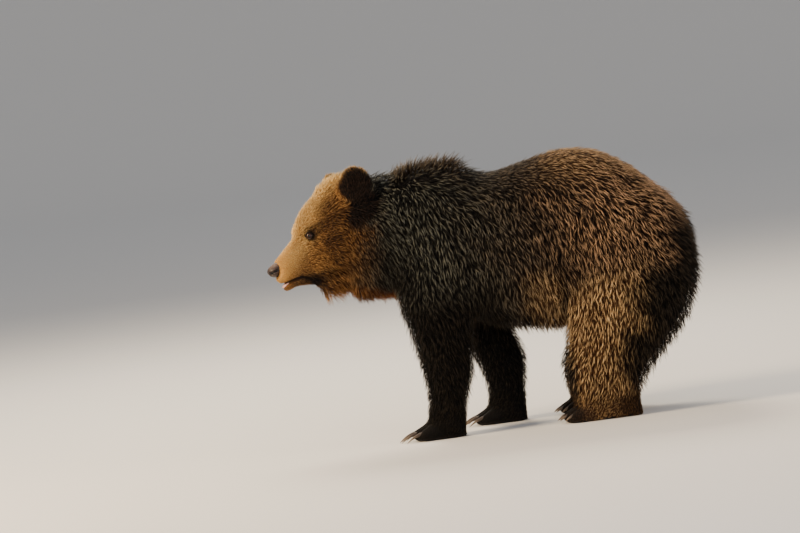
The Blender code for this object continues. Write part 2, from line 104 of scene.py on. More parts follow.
def mixed(base: Array | float, *layers: tuple[Array, Array | float]) -> Array:
    """Paints layers over a base, in order: each moves the value towards its own by its mask.

    Args:
        base: the value where no layer covers.
        layers: pairs of a mask from 0 to 1 and the value that it brings.

    Returns:
        The painted values.
    """
    value = base
    for mask, target in layers:
        in_rows = np.ndim(target) == 2 or np.ndim(value) == 2 or isinstance(target, tuple)
        value = value + (mask[:, None] if in_rows else mask) * (np.asarray(target) - value)
    return value


def by_region(mask: dict[str, Array], base: Array | float, regions: dict[str, Array | float]) -> Array:
    """A value for each point, by the regions that it is in.

    Args:
        mask: how much each point belongs to each region.
        base: the value outside them all.
        regions: each region's value, which covers those of the regions before it.

    Returns:
        The values.
    """
    return mixed(base, *((mask[name], value) for name, value in regions.items()))


def unit(vectors: Array) -> Array:
    """Scales each row to length 1."""
    return vectors / np.maximum(np.linalg.norm(vectors, axis=-1, keepdims=True), 1e-9)


def ripple(points: Array, wavelength: float, seed: int) -> Array:
    """A smooth random field: for each of 3 channels, the mean of 4 sine waves that run in random directions.

    Args:
        points: rows of x, y, z.
        wavelength: distance from crest to crest.
        seed: picks the waves.

    Returns:
        Rows of 3 numbers from -1 to 1.
    """
    draw = np.random.default_rng(seed)
    runs = unit(draw.normal(size=(3, 4, 3))) * 2 * math.pi / wavelength * draw.uniform(0.6, 1.6, (3, 4, 1))
    starts = draw.uniform(0, 2 * math.pi, (3, 4))
    return np.sin(np.einsum("pi,cki->pck", points, runs) + starts).mean(axis=2) * 1.4


def mesh_piece(name: str, points: Array, faces: Array) -> bpy.types.Object:
    """An object at the origin from points and equal-sided faces.

    Args:
        name: the piece's name.
        points: rows of x, y, z.
        faces: rows of point numbers, all of one length.

    Returns:
        The linked object, shaded smooth.
    """
    corners = faces.shape[1]
    data = bpy.data.meshes.new(name)
    data.vertices.add(len(points))
    data.vertices.foreach_set("co", np.ascontiguousarray(points, np.float32).ravel())
    data.loops.add(faces.size)
    data.loops.foreach_set("vertex_index", np.ascontiguousarray(faces, np.int32).ravel())
    data.polygons.add(len(faces))
    data.polygons.foreach_set("loop_start", np.arange(len(faces), dtype=np.int32) * corners)
    data.update(calc_edges=True)
    data.validate()
    data.shade_smooth()
    made = bpy.data.objects.new(name, data)
    bpy.context.scene.collection.objects.link(made)
    return made


def grid_faces(rows: int, columns: int, closed: bool) -> Array:
    """Quads between the rows of a grid of points that is numbered row by row.

    Args:
        rows: how many rows of points.
        columns: how many points in a row.
        closed: whether a row's last point joins its first.

    Returns:
        Rows of 4 point numbers.
    """
    row, column = np.meshgrid(np.arange(rows - 1), np.arange(columns - (0 if closed else 1)), indexing="ij")
    following = (column + 1) % columns
    quads = [row * columns + column, row * columns + following,
             (row + 1) * columns + following, (row + 1) * columns + column]
    return np.stack(quads, axis=-1).reshape(-1, 4)


def polar_grid(rows: int, columns: int) -> tuple[Array, Array]:
    """The angles of a sphere's points, row by row.

    Args:
        rows: how many points from pole to pole.
        columns: how many points round the axis.

    Returns:
        The polar angle and the turn about the axis of each point, as two grids.
    """
    polar = np.linspace(0, math.pi, rows)
    turn = np.linspace(0, 2 * math.pi, columns, endpoint=False)
    return tuple(np.meshgrid(polar, turn, indexing="ij"))


@contextmanager
def opened(data: bpy.types.Mesh) -> Iterator[bmesh.types.BMesh]:
    """Opens a mesh for editing and writes the work back at the end.

    Args:
        data: the mesh.

    Yields:
        The mesh to work on.
    """
    work = bmesh.new()
    work.from_mesh(data)
    work.verts.ensure_lookup_table()
    yield work
    work.to_mesh(data)
    work.free()


def faces_outward(piece: bpy.types.Object) -> None:
    """Welds the piece's doubled points at its poles and turns its faces outward.

    Args:
        piece: an object with one closed mesh, or with several.
    """
    with opened(piece.data) as work:
        bmesh.ops.remove_doubles(work, verts=work.verts, dist=1e-6)
        work.normal_update()
        bmesh.ops.recalc_face_normals(work, faces=work.faces)
    piece.data.shade_smooth()


def read_points(data: bpy.types.Mesh) -> tuple[Array, Array]:
    """A mesh's points and their normals.

    Args:
        data: the mesh.

    Returns:
        Two arrays with a row for each point.
    """
    points, normals = np.empty(len(data.vertices) * 3), np.empty(len(data.vertices) * 3)
    data.vertices.foreach_get("co", points)
    data.vertex_normals.foreach_get("vector", normals)
    return points.reshape(-1, 3), normals.reshape(-1, 3)


def write_points(data: bpy.types.Mesh, points: Array) -> None:
    """Puts moved points back into a mesh."""
    data.vertices.foreach_set("co", np.ascontiguousarray(points, np.float32).ravel())
    data.update()


def relaxed(points: Array, edges: Array, weight: Array | float, rounds: int) -> Array:
    """Smooths a mesh: in each round a point moves towards the mean of its neighbours by its weight.

    Args:
        points: rows of x, y, z.
        edges: rows of two point numbers.
        weight: how far a point moves in a round, from 0 to 1.
        rounds: how often.

    Returns:
        The moved points.
    """
    size = len(points)
    first, second = edges.T
    count = np.maximum(np.bincount(edges.ravel(), minlength=size), 1)[:, None]
    pull = np.broadcast_to(weight, size)[:, None]
    for _ in range(rounds):
        total = np.stack([np.bincount(first, column[second], size) + np.bincount(second, column[first], size)
                          for column in points.T], 1)
        points = points + pull * (total / count - points)
    return points


def edges_of(data: bpy.types.Mesh) -> Array:
    """A mesh's edges.

    Args:
        data: the mesh.

    Returns:
        Rows of two point numbers.
    """
    ends = np.empty(len(data.edges) * 2, np.int32)
    data.edges.foreach_get("vertices", ends)
    return ends.reshape(-1, 2)


def voxel_skin(piece: bpy.types.Object, voxel: float) -> None:
    """Replaces the piece's mesh with one closed skin of even quads over all its shells.

    Args:
        piece: the object.
        voxel: the size of a quad.
    """
    remesh = piece.modifiers.new("remesh", "REMESH")
    remesh.mode = "VOXEL"
    remesh.voxel_size = voxel
    graph = bpy.context.evaluated_depsgraph_get()
    data = bpy.data.meshes.new_from_object(piece.evaluated_get(graph), depsgraph=graph)
    piece.modifiers.clear()
    piece.data = data


def attribute(piece: bpy.types.Object, name: str, values: Array) -> None:
    """Stores one number for each point under a name that materials read."""
    piece.data.attributes.new(name, "FLOAT", "POINT").data.foreach_set("value", values.astype(np.float32))


# ---------------------------------------------------------------- the bear's places
@dataclass(frozen=True)
class Paw:
    """A paw's place and toes: it points to -X and stands on the floor."""

    name: str
    side: Side
    toes: float                     # where along X the paw's front is
    middle: float                   # how far to the side its middle line is
    half_width: float
    claw: float                     # a claw's length
    count: int = 5
    radii: tuple[float, float, float] = (0.034, 0.0158, 0.023)
    toe_back: float = 0.030         # from the paw's front to the middle toe's middle
    toe_curve: float = 0.024        # how far behind the middle toe the outer ones are
    toe_height: float = 0.021
    cleft_width: float = 0.0050

    @property
    def tips(self) -> Array:
        """Middles of the toes' ends, with the middle toe furthest forward.

        Returns:
            Rows of x, y, z.
        """
        across = np.linspace(-1, 1, self.count)
        x = self.toes + self.toe_back + self.toe_curve * across**2
        y = -(self.side.value * self.middle + across * self.half_width * 0.74)
        return rows_of(x, y, self.toe_height)

    def nearness(self, points: Array) -> Array:
        """From 1 on the toes to 0 one toe's length off them."""
        reach = np.min([np.linalg.norm((points - tip) / self.radii, axis=1) for tip in self.tips], axis=0)
        return smooth(1.9, 1.15, reach)

    def clefts(self, points: Array) -> Array:
        """How deep in a cleft between two toes points are.

        Args:
            points: rows of x, y, z.

        Returns:
            An array from 0 to 1.
        """
        tips = self.tips
        gap = np.min([np.abs(points[:, 1] - y) for y in (tips[1:, 1] + tips[:-1, 1]) / 2], axis=0)
        front = smooth(self.toes + 0.085, self.toes + 0.055, points[:, 0])
        return bell(gap, self.cleft_width) * self.nearness(points) * front


PAWS = (
    Paw("forepaw_left", Side.LEFT, -0.300, 0.130, 0.062, 0.078),
    Paw("forepaw_right", Side.RIGHT, -0.090, 0.130, 0.062, 0.078),
    Paw("hind_paw_left", Side.LEFT, 0.196, 0.134, 0.060, 0.050),
    Paw("hind_paw_right", Side.RIGHT, 0.196, 0.134, 0.060, 0.050),
)


@dataclass(frozen=True)
class Axes:
    """An origin and three directions, as rows of numbers."""

    origin: Array
    along: Array
    side: Array
    up: Array

    def local(self, points: Array) -> Array:
        """World points in these axes: along, side and up."""
        return (points - self.origin) @ np.stack([self.along, self.side, self.up], 1)

    def world(self, local: Sequence[float] | Array) -> Array:
        """Points given along, to the side and up, in the world."""
        return self.origin + np.asarray(local, float) @ np.stack([self.along, self.side, self.up])

    def turned(self, local: Sequence[float] | Array) -> Array:
        """Directions given along, to the side and up, in the world."""
        return np.asarray(local, float) @ np.stack([self.along, self.side, self.up])


@dataclass(frozen=True)
class Anatomy:
    """Where the bear's parts are, with the same values as its solids, and masks over its regions."""

    eye_middle: tuple[float, float, float] = (-0.568, -0.075, 0.706)
    head_turn: float = math.radians(20)
    head_pitch: float = math.radians(15)
    head_lean: float = math.radians(6)
    eye_place: tuple[float, float, float] = (0.003, 0.056, 0.0)
    eye_radius: float = 0.0115
    ear_place: tuple[float, float, float] = (-0.190, 0.117, 0.090)
    ear_radius: float = 0.061
    ear_disc: tuple[float, float, float] = (0.036, 0.070, 0.074)    # half sizes of the disc round an ear
    skull_middle: tuple[float, float, float] = (-0.05, 0.0, -0.03)  # on the head's axes
    fore_swing: float = 0.210

    @property
    def head(self) -> Axes:
        """The head's axes, from between the eyes.

        Returns:
            Along its gaze, to its left, and up through its crown.
        """
        turn, pitch = self.head_turn, self.head_pitch
        level_gaze = np.array([-math.cos(turn), -math.sin(turn), 0.0])
        gaze = level_gaze * math.cos(pitch) + np.array([0.0, 0.0, -math.sin(pitch)])
        level = np.array([math.sin(turn), -math.cos(turn), 0.0])
        left = level * math.cos(self.head_lean) + np.cross(gaze, level) * math.sin(self.head_lean)
        return Axes(np.array(self.eye_middle), gaze, left, np.cross(gaze, left))

    def ear(self, side: Side) -> Axes:
        """An ear's axes, from its middle.

        Args:
            side: which ear.

        Returns:
            Out of its opening, along its rim, and up to its tip.
        """
        head, left = self.head, side.value
        opening = unit(head.turned((0.44, 0.86 * left, 0.10)))
        rim = unit(np.cross(opening, unit(head.turned((-0.16, 0.10 * left, 1.0)))))
        along, aside, up = self.ear_place
        return Axes(head.world((along, aside * left, up)), opening, rim, np.cross(rim, opening))

    def eye(self, side: Side) -> Axes:
        """An eye's axes, from the ball's middle.

        Args:
            side: which eye.

        Returns:
            Out of the pupil, along the face, backward at the left eye and forward at the right, and up.
        """
        head, left = self.head, side.value
        along, aside, up = self.eye_place
        look = unit(head.turned((0.50, 0.85 * left, 0.12)))
        lift = head.turned((0, 0, 1.0))
        rise = unit(lift - look * (lift @ look))
        return Axes(head.world((along, aside * left, up)), look, np.cross(rise, look), rise)

    def ear_reach(self, points: Array, side: Side) -> Array:
        """How far points are from an ear's middle, where 1 is on a thick disc round the ear."""
        return np.linalg.norm(self.ear(side).local(points) / self.ear_disc, axis=1)

    def masks(self, points: Array) -> dict[str, Array]:
        """Shares from 0 to 1 that say how much each point belongs to a region.

        Args:
            points: rows of x, y, z.

        Returns:
            An array for each region's name.
        """
        local = self.head.local(points)
        head = 1 - smooth(0.20, 0.27, np.linalg.norm(local - np.array(self.skull_middle), axis=1))
        return {**self.head_masks(points, local, head), **self.body_masks(points, head)}

    def head_masks(self, points: Array, local: Array, head: Array) -> dict[str, Array]:
        """The regions of the head.

        Args:
            points: rows of x, y, z.
            local: the same points on the head's axes.
            head: how much each point belongs to the head.

        Returns:
            An array for each region's name.
        """
        u, v, w = local.T
        brow_band = smooth(-0.05, 0.01, w + 0.7 * u) * smooth(-0.20, -0.15, u)
        eyes = [self.eye(side).origin for side in Side]
        lids = [1 - smooth(0.012, 0.023, np.linalg.norm(points - eye, axis=1)) for eye in eyes]
        ears = [1 - smooth(0.85, 1.1, self.ear_reach(points, side)) for side in Side]
        return {
            "head": head,
            "face": head * smooth(-0.13, -0.03, u + 0.25 * np.abs(w + 0.03)),
            "muzzle": head * smooth(0.02, 0.08, u),
            "nose_end": head * smooth(0.085, 0.115, u),
            "lids": np.maximum(*lids),
            "cheek": head * smooth(0.0, -0.08, w) * smooth(0.03, -0.04, u),
            "forehead": head * smooth(0.084, 0.024, np.abs(v)) * brow_band,
            "jaw": head * smooth(-0.115, -0.125, w) * smooth(0.000, 0.024, u),
            "ruff": head * smooth(-0.04, -0.11, u) * smooth(0.07, -0.02, w),
            "crown": head * smooth(0.095, 0.125, w) * smooth(-0.06, -0.10, u),
            "beard": head * smooth(-0.125, -0.165, w) * smooth(0.014, -0.014, u),
            "tuft": head * np.exp(-((u + 0.004) ** 2 + v**2 * 0.5 + (w + 0.188) ** 2) / 0.026**2),
            "ear": np.maximum(*ears),
        }

    def body_masks(self, points: Array, head: Array) -> dict[str, Array]:
        """The regions of the neck, trunk and legs.

        Args:
            points: rows of x, y, z.
            head: how much each point belongs to the head.

        Returns:
            An array for each region's name.
        """
        x, y, z = points.T
        aside = np.abs(y)
        swing = self.fore_swing * smooth(-0.02, 0.05, y) * smooth(0.55, 0.15, z)
        fore = (1 - smooth(0.00, 0.07, x - swing)) * smooth(0.58, 0.40, z)
        hind = smooth(0.20, 0.27, x) * smooth(0.50, 0.34, z)
        between = smooth(-0.05, 0.05, x) * smooth(0.34, 0.26, x)
        hump = smooth(-0.31, -0.24, x) * smooth(-0.030, -0.058, x)
        throat = smooth(0.60, 0.50, z + 0.10 * (x + 0.45)) * smooth(-0.26, -0.33, x)
        ankle = smooth(0.24, 0.16, z) * smooth(0.035, 0.06, z)
        return {
            "elbow": fore * bell(z - 0.37, 0.06),
            "haunch": smooth(0.36, 0.50, x) * smooth(0.74, 0.58, z) * smooth(0.07, 0.13, z),
            "back": smooth(0.74, 0.80, z) * smooth(-0.02, 0.05, x),
            "inner": smooth(0.42, 0.36, z) * smooth(0.16, 0.11, aside),
            "neck": (1 - head) * smooth(-0.17, -0.27, x) * smooth(0.42, 0.50, z),
            "throat": throat * smooth(0.40, 0.46, z),
            "fore": fore,
            "hind": hind,
            "paw": smooth(0.16, 0.04, z),
            "toes": np.max([paw.nearness(points) for paw in PAWS], axis=0),
            "ankle": ankle * smooth(0.12, 0.18, x) * smooth(0.33, 0.28, x),
            "crest": hump * smooth(0.13, 0.06, aside) * smooth(0.76, 0.84, z),
            "belly": (1 - np.maximum(fore, hind)) * smooth(0.44, 0.33, z) * between,
        }


# ---------------------------------------------------------------- finishes
def linear(code: str) -> tuple[float, float, float, float]:
    """An sRGB hex colour, such as "#8a5a2b", as linear red, green, blue and alpha."""
    parts = [int(code[i:i + 2], 16) / 255 for i in (1, 3, 5)]
    return (*(c / 12.92 if c <= 0.04045 else ((c + 0.055) / 1.055) ** 2.4 for c in parts), 1.0)


@dataclass
class Shading:
    """One material's node tree, with a Principled shader in it."""

    name: str

    def __post_init__(self) -> None:
        """Makes the empty material."""
        self.material = bpy.data.materials.new(self.name)
        self.material.use_nodes = True
        self.tree = self.material.node_tree
        self.surface = self.tree.nodes["Principled BSDF"]

    def node(self, kind: str, settings: dict | None = None, **links: object) -> bpy.types.Node:
        """Adds a node.

        Args:
            kind: the node type without its "ShaderNode" prefix.
            settings: the node's own properties.
            links: an input's name, or "in_" and its number, with a socket to link or a value to set.

        Returns:
            The node.
        """
        made = self.tree.nodes.new("ShaderNode" + kind)
        for key, value in (settings or {}).items():
            setattr(made, key, value)
        for key, value in links.items():
            socket = made.inputs[int(key[3:]) if key.startswith("in_") else key.replace("_", " ")]
            if isinstance(value, bpy.types.NodeSocket):
                self.tree.links.new(value, socket)
            else:
                socket.default_value = value
        return made

    def value(self, name: str) -> bpy.types.NodeSocket:
        """The number that an attribute stores."""
        return self.node("Attribute", {"attribute_name": name}).outputs["Fac"]

    def blend(self, share: object, first: object, second: object, how: str = "MIX") -> bpy.types.NodeSocket:
        """Mixes two colours by a share.

        Args:
            share: a socket or number from 0 to 1.
            first: the colour at 0, as a socket or a hex code.
            second: the colour at 1, as a socket or a hex code.
            how: Blender's name of the blend.

        Returns:
            The colour's socket.
        """
        first, second = (linear(c) if isinstance(c, str) else c for c in (first, second))
        settings = {"data_type": "RGBA", "blend_type": how}
        return self.node("Mix", settings, in_0=share, in_6=first, in_7=second).outputs[2]

    def pebbles(self, size_mm: float) -> bpy.types.NodeSocket:
        """Cells of a real size, in the object's own coordinates.

        Args:
            size_mm: distance from one cell to the next.

        Returns:
            The socket of the distance to the nearest cell's middle.
        """
        place = self.node("TexCoord").outputs["Object"]
        made = self.node("TexVoronoi", {"feature": "F1"}, Vector=place, Scale=1 / (size_mm * MM))
        return made.outputs["Distance"]

    def maths(self, how: str, *inputs: object, clamp: bool = False) -> bpy.types.NodeSocket:
        """One step of arithmetic.

        Args:
            how: Blender's name of the operation.
            inputs: sockets or numbers.
            clamp: whether the result stays from 0 to 1.

        Returns:
            The result's socket.
        """
        links = {f"in_{i}": value for i, value in enumerate(inputs)}
        return self.node("Math", {"operation": how, "use_clamp": clamp}, **links).outputs[0]

    def ramp(self, value: object, low: float, high: float) -> bpy.types.NodeSocket:
        """A straight climb from 0 at low to 1 at high, clamped at both ends."""
        return self.node("MapRange", {"clamp": True}, in_0=value, in_1=low, in_2=high).outputs[0]

    def noise(self, size_mm: float, detail: float = 3.0, roughness: float = 0.55,
              stretch: tuple[float, float, float] = (1, 1, 1)) -> bpy.types.NodeSocket:
        """Soft noise with features of a real size, in the object's own coordinates.

        Args:
            size_mm: distance from one feature to the next.
            detail: how many finer layers lie on it.
            roughness: how strong those are.
            stretch: scale along x, y and z before the noise.

        Returns:
            The noise's socket, about 0.5 on average.
        """
        place = self.node("TexCoord").outputs["Object"]
        mapped = self.node("Mapping", in_0=place, Scale=stretch).outputs[0]
        settings = {"Scale": 1 / (size_mm * MM), "Detail": detail, "Roughness": roughness}
        return self.node("TexNoise", Vector=mapped, **settings).outputs["Fac"]

    def bump(self, height: object, depth_mm: float, strength: float = 1.0) -> None:
        """Roughens the surface by a height pattern of a real depth."""
        made = self.node("Bump", Strength=strength, Distance=depth_mm * MM, Height=height)
        self.tree.links.new(made.outputs[0], self.surface.inputs["Normal"])

    def finish(self, colour: object, roughness: object, **fixed: object) -> bpy.types.Material:
        """Links the colour and roughness and sets the shader's other values.

        Args:
            colour: a socket or a hex code.
            roughness: a socket or a number.
            fixed: the shader's inputs by name, with underscores for spaces.

        Returns:
            The material.
        """
        values = {"Base_Color": colour, "Roughness": roughness, **fixed}
        for key, value in values.items():
            socket = self.surface.inputs[key.replace("_", " ")]
            if isinstance(value, bpy.types.NodeSocket):
                self.tree.links.new(value, socket)
            else:
                socket.default_value = linear(value) if isinstance(value, str) else value
        return self.material


# ---------------------------------------------------------------- lines that colours and shapes share
# The mouth's height on the head's axes, by distance along the gaze.
LIP_LINE = ([-0.02, 0.026, 0.05, 0.075, 0.09, 0.16],
            [-0.175, -0.150, -0.126, -0.110, -0.1085, -0.107])
# How far back the haunch turns dark, by height over the floor: dark fur with painted shade on the side turned
# from the light.
DARK_FUR_AND_SHADE_EDGE = ([0.05, 0.26, 0.33, 0.44, 0.56, 0.70, 0.78],
             [0.40, 0.44, 0.46, 0.505, 0.58, 0.63, 0.75])
# How far along the gaze the nose's leather starts, by height on the head's axes.
PAD_EDGE = ([-0.090, -0.066, -0.038],
            [0.143, 0.129, 0.1450])


def pad_edge(w: Array) -> Array:
    """How far along the gaze the nose's leather starts: it reaches furthest back at the nostrils' level."""
    return np.interp(w, *PAD_EDGE)


def over_tear_line(u: Array, w: Array) -> Array:
    """How far over the tear line points are, which runs forward and down from the eye's inner corner."""
    return w - 0.012 + 0.68 * (u - 0.024)


@dataclass(frozen=True)
class Tint:
    """A hair colour at one region: at its root, along its shaft, and at its sunlit tip."""

    root: str
    shaft: str
    tip: str


@dataclass(frozen=True)
class CoatColours:
    """The coat's markings. Each region's colours cover the ones before it, by a mask of the same name."""

    base: Tint = Tint("#080503", "#150e08", "#816b54")
    regions: tuple[tuple[str, Tint], ...] = (
        ("grizzled", Tint("#040302", "#0b0907", "#757465")),
        ("russet", Tint("#0a0503", "#20130b", "#d8ac80")),
        ("golden", Tint("#160b05", "#50311b", "#fbd396")),
        # rust: rust-red fur of the fringe and tuft, brightened as painted light shining through it
        ("rust", Tint("#220d05", "#7a3812", "#e08a36")),
        # black: dark fur, with painted shade on the haunch's back, in the fold before it and on the belly's
        # hem
        ("black", Tint("#030202", "#080604", "#332b21")),
        # tawny: the face's fur, and painted rim light on the ears' rims
        ("tawny", Tint("#2b170a", "#70461f", "#d6a35f")),
        # dusky: brownish fur, with painted shade under the brows, round the eyes, on the lids and on the lower
        # jaw
        ("dusky", Tint("#0b0503", "#29170b", "#9a6c3a")),
        # cream: pale fur, with painted sunlight on the forehead, bridge and crown, and painted rim light on
        # the ears' rims
        ("cream", Tint("#7a5224", "#c69852", "#f0d08c")),
        # ink: the ears' dark fur and the lips, with painted shade under the ears, on the lids, at the mouth's
        # corner and under the jowl
        ("ink", Tint("#020101", "#070403", "#38271d")),
    )

    # the near left ear's dark is full, as painted shade, and the right ear is paler, with painted light on it
    ear_shade: ClassVar[dict[Side, float]] = {Side.LEFT: 1.0, Side.RIGHT: 0.62}     # the right ear is paler

    def weights(self, anatomy: Anatomy, points: Array) -> dict[str, Array]:
        """How strongly each marking shows at some points of the skin.

        Slow waves move the markings' edges on the trunk, and small flecks roughen them.

        Args:
            anatomy: the bear's places.
            points: rows of x, y, z.

        Returns:
            An array from 0 to 1 for each marking's name.
        """
        mask = anatomy.masks(points)
        local = anatomy.head.local(points)
        wave, fleck = ripple(points, 0.16, 11), ripple(points, 0.030, 12)
        found = {**self.on_body(points, local[:, 2], mask, wave, fleck),
                 **self.on_head(points, local, mask, wave, fleck, self.on_ears(anatomy, points, fleck))}
        return {name: found[name] for name, _ in self.regions}

    def on_body(self, points: Array, w: Array, mask: dict[str, Array], wave: Array,
                fleck: Array) -> dict[str, Array]:
        """The markings of the neck, trunk and legs.

        The neck, shoulders and hump are grizzled and the upper flank is russet. The lower flank, the haunch's
        front and the top of the rump are golden. The forelegs are black, and so is the haunch's back, partly
        dark fur and partly painted shade; the fold before it and the belly's hem are black with painted shade.

        Args:
            points: rows of x, y, z.
            w: the points' heights on the head's axes.
            mask: the regions' shares.
            wave: slow waves, as rows of 3 numbers.
            fleck: small flecks, as rows of 3 numbers.

        Returns:
            An array for each marking's name.
        """
        x, y, z = points.T
        xs = x + 0.03 * wave[:, 0] + 0.008 * fleck[:, 0]
        zs = z + 0.03 * wave[:, 1] + 0.008 * fleck[:, 1]
        flank = 0.58 * smooth(0.56, 0.44, zs) * smooth(0.06, 0.16, xs)
        flank = flank * smooth(0.26, 0.24, x) * smooth(0.30, 0.37, zs)
        haunch = smooth(0.56, 0.38, zs) * smooth(0.250, 0.275, x + 0.006 * fleck[:, 2])
        haunch = haunch * smooth(0.60, 0.44, xs)
        rump = smooth(0.76, 0.88, zs) * smooth(0.10, 0.35, xs) * 0.60
        # the haunch's back: dark fur, with painted shade on the side turned from the light
        back = 0.97 * smooth(-0.07, 0.05, xs - np.interp(zs, *DARK_FUR_AND_SHADE_EDGE)) * smooth(0.78, 0.66, zs)
        # painted shade in the fold before the haunch
        fold = 0.75 * bell(x - 0.243 + 0.006 * fleck[:, 2], 0.013) * smooth(0.54, 0.46, z)
        fold = fold * smooth(0.10, 0.15, np.abs(y))
        neck = mask["neck"] * smooth(0.68, 0.56, zs) * smooth(0.50, 0.56, zs) * 0.7
        # painted shade on the belly's hem, under the trunk
        hem = 0.75 * (1 - mask["hind"]) * smooth(0.43, 0.38, z + 0.008 * fleck[:, 1]) * smooth(0.24, 0.10, x)
        ruff = 0.6 * mask["ruff"] * smooth(-0.05, -0.13, w)
        dark = mask["fore"] + back + fold + neck + hem + mask["paw"] * 0.25 + 0.50 * mask["crest"] + ruff
        return {
            "grizzled": smooth(0.28, -0.20, xs) * smooth(0.30, 0.42, zs),
            "russet": smooth(0.14, 0.40, xs) * smooth(0.40, 0.62, zs) * smooth(0.76, 0.62, xs),
            "golden": np.max([flank, haunch, rump, 0.05 * mask["crest"]], axis=0),
            "black": np.clip(dark, 0, 1),
        }

    def on_ears(self, anatomy: Anatomy, points: Array, fleck: Array) -> tuple[Array, Array]:
        """The ears' markings, with painted light and shade in them.

        Args:
            anatomy: the bear's places.
            points: rows of x, y, z.
            fleck: small flecks, as rows of 3 numbers.

        Returns:
            The dark of each ear's front and back, full on the near left ear as painted shade, and of the patch
            under it, a painted shadow; and the pale hair along its rim as painted rim light, with painted
            light on the right ear's upper half.
        """
        dark, rim = np.zeros(len(points)), np.zeros(len(points))
        for side, shade in self.ear_shade.items():
            out, along, up = anatomy.ear(side).local(points).T
            disc = np.hypot(along / anatomy.ear_radius, (up - 0.004) / (anatomy.ear_radius + 0.006))
            near = 1 - smooth(0.9, 1.15, anatomy.ear_reach(points, side))
            front = near * smooth(-0.020, -0.006, out)
            front = front * smooth(0.98, 0.78, disc + 0.20 * smooth(0.0, 0.03, up))
            back = 0.85 * near * smooth(0.0, -0.02, out) * smooth(0.045, 0.015, up)
            lean = along * side.value - 0.004 + 0.5 * (up + 0.088) + 0.004 * fleck[:, 1]
            # painted shadow under the ear: a dark patch below and behind it
            below = smooth(1.4, 0.8, np.hypot(lean / 0.047, (up + 0.076) / 0.047)) * smooth(-0.10, -0.03, out)
            dark = np.max([dark, front * shade, back * shade, below], axis=0)
            # painted rim light: pale hair along the ear's upper rim, and painted light on the paler right
            # ear's upper half
            edge = near * smooth(0.70, 0.82, disc) * smooth(0.010, 0.035, up) * smooth(-0.025, -0.010, out)
            rim = np.maximum(rim, edge + near * (1 - shade) * smooth(-0.02, 0.03, up))
        return dark, rim

    def on_head(self, points: Array, local: Array, mask: dict[str, Array], wave: Array, fleck: Array,
                ears: tuple[Array, Array]) -> dict[str, Array]:
        """The markings of the head, with the dusky hump and hind paws.

        The throat's fringe is rust, brightened as painted light shining through it, and the face is tawny. The
        temples, eyes' surrounds, brows, tear lines, cheeks, chin and the ring round the nose are dusky, with
        painted shade on the
        brows, the eyes' surrounds, the lids and the chin. The forehead, the muzzle's bridge and the ears' rims
        are cream:
        pale fur and painted sunlight on the forehead, bridge and crown, and painted rim light on the rims. The
        ears, the lids, the mouth's corner and the jowl are ink: the ears' dark fur with the painted shadow
        under them, and painted shade on the lids, the mouth's corner and the jowl.

        Args:
            points: rows of x, y, z.
            local: the same points on the head's axes.
            mask: the regions' shares.
            wave: slow waves, as rows of 3 numbers.
            fleck: small flecks, as rows of 3 numbers.
            ears: the ears' dark markings with their painted shade and shadow, and their painted rim light.

        Returns:
            An array for each marking's name.
        """
        z = points[:, 2]
        u, v, w = local.T
        aside = np.abs(v)
        ear_dark_and_shade, ear_rim_light = ears
        lip_width = np.interp(u, [0.0, 0.03, 0.075, 0.10, 0.13], [0.016, 0.017, 0.010, 0.0045, 0.003])
        lips = bell(w - np.interp(u, *LIP_LINE) + 0.004, lip_width)
        edge = u + 0.40 * w + 0.012 * fleck[:, 2]
        face_edge = smooth(-0.165, -0.100, edge + 0.010 * wave[:, 2])
        blur = smooth(-0.25, -0.14, edge) * (1 - 0.5 * mask["ruff"] * smooth(-0.05, -0.13, w))
        fringe = w - np.interp(u, [-0.166, -0.091, -0.049], [-0.297, -0.251, -0.2185])
        temple = 0.82 * spot(u + 0.070, 0.065, w - 0.015, 0.075) * smooth(0.03, 0.07, aside)
        # painted shade on the lower jaw, under the upper lip
        under = smooth(-0.112, -0.130, w) * smooth(0.120, 0.090, u) * (1 - mask["tuft"])
        behind = smooth(0.0, -0.07, u) * smooth(0.08, 0.0, w)
        ring = bell(u - pad_edge(w) + 0.003, 0.006) * smooth(-0.098, -0.090, w)
        # painted shadow under the brow's ridge
        brow = spot(u + 0.014, 0.034, w - 0.021, 0.009) * smooth(0.03, 0.05, aside)
        tear = bell(over_tear_line(u, w), 0.0055) * smooth(0.014, 0.022, u) * smooth(0.078, 0.050, u)
        tear = tear * smooth(0.02, 0.035, aside)
        # darker round the eye: dark fur with painted shade over it
        socket = np.exp(-(((u + 0.010) / 0.028) ** 2 + ((w - 0.010) / 0.021) ** 2) ** 1.5)
        socket = socket * smooth(0.035, 0.048, aside)
        eye_marks_and_shade = np.maximum(np.maximum(tear * 0.8, socket), brow)
        # the rust fringe and chin tuft; their rust is brightened as painted light shining through the hair
        rust = (smooth(0.060, 0.032, fringe) * smooth(-0.22, -0.17, u) * smooth(0.02, -0.02, u)
                * smooth(0.42, 0.46, z) * smooth(0.14, 0.10, aside) + mask["tuft"])
        tawny = mask["head"] * face_edge * (1 - 0.55 * under) * smooth(-0.235, -0.185, u - 0.4 * w)
        # dusky: painted shade on the lids, round the eyes, under the brows and on the lower jaw, with the
        # darker temples, cheeks, tear lines and the ring round the nose
        shade = (0.9 * mask["lids"] + 0.95 * temple + 0.55 * mask["cheek"] + 0.9 * under + 0.9 * eye_marks_and_shade
                 + 0.75 * ring + 0.35 * behind + 0.35 * fleck[:, 0] * smooth(0.05, -0.03, u)
                 + 0.26 * np.maximum(fleck[:, 1], 0) * mask["muzzle"])
        dusky = mask["head"] * blur * np.clip(shade, 0, 1) * (1 - mask["tuft"])
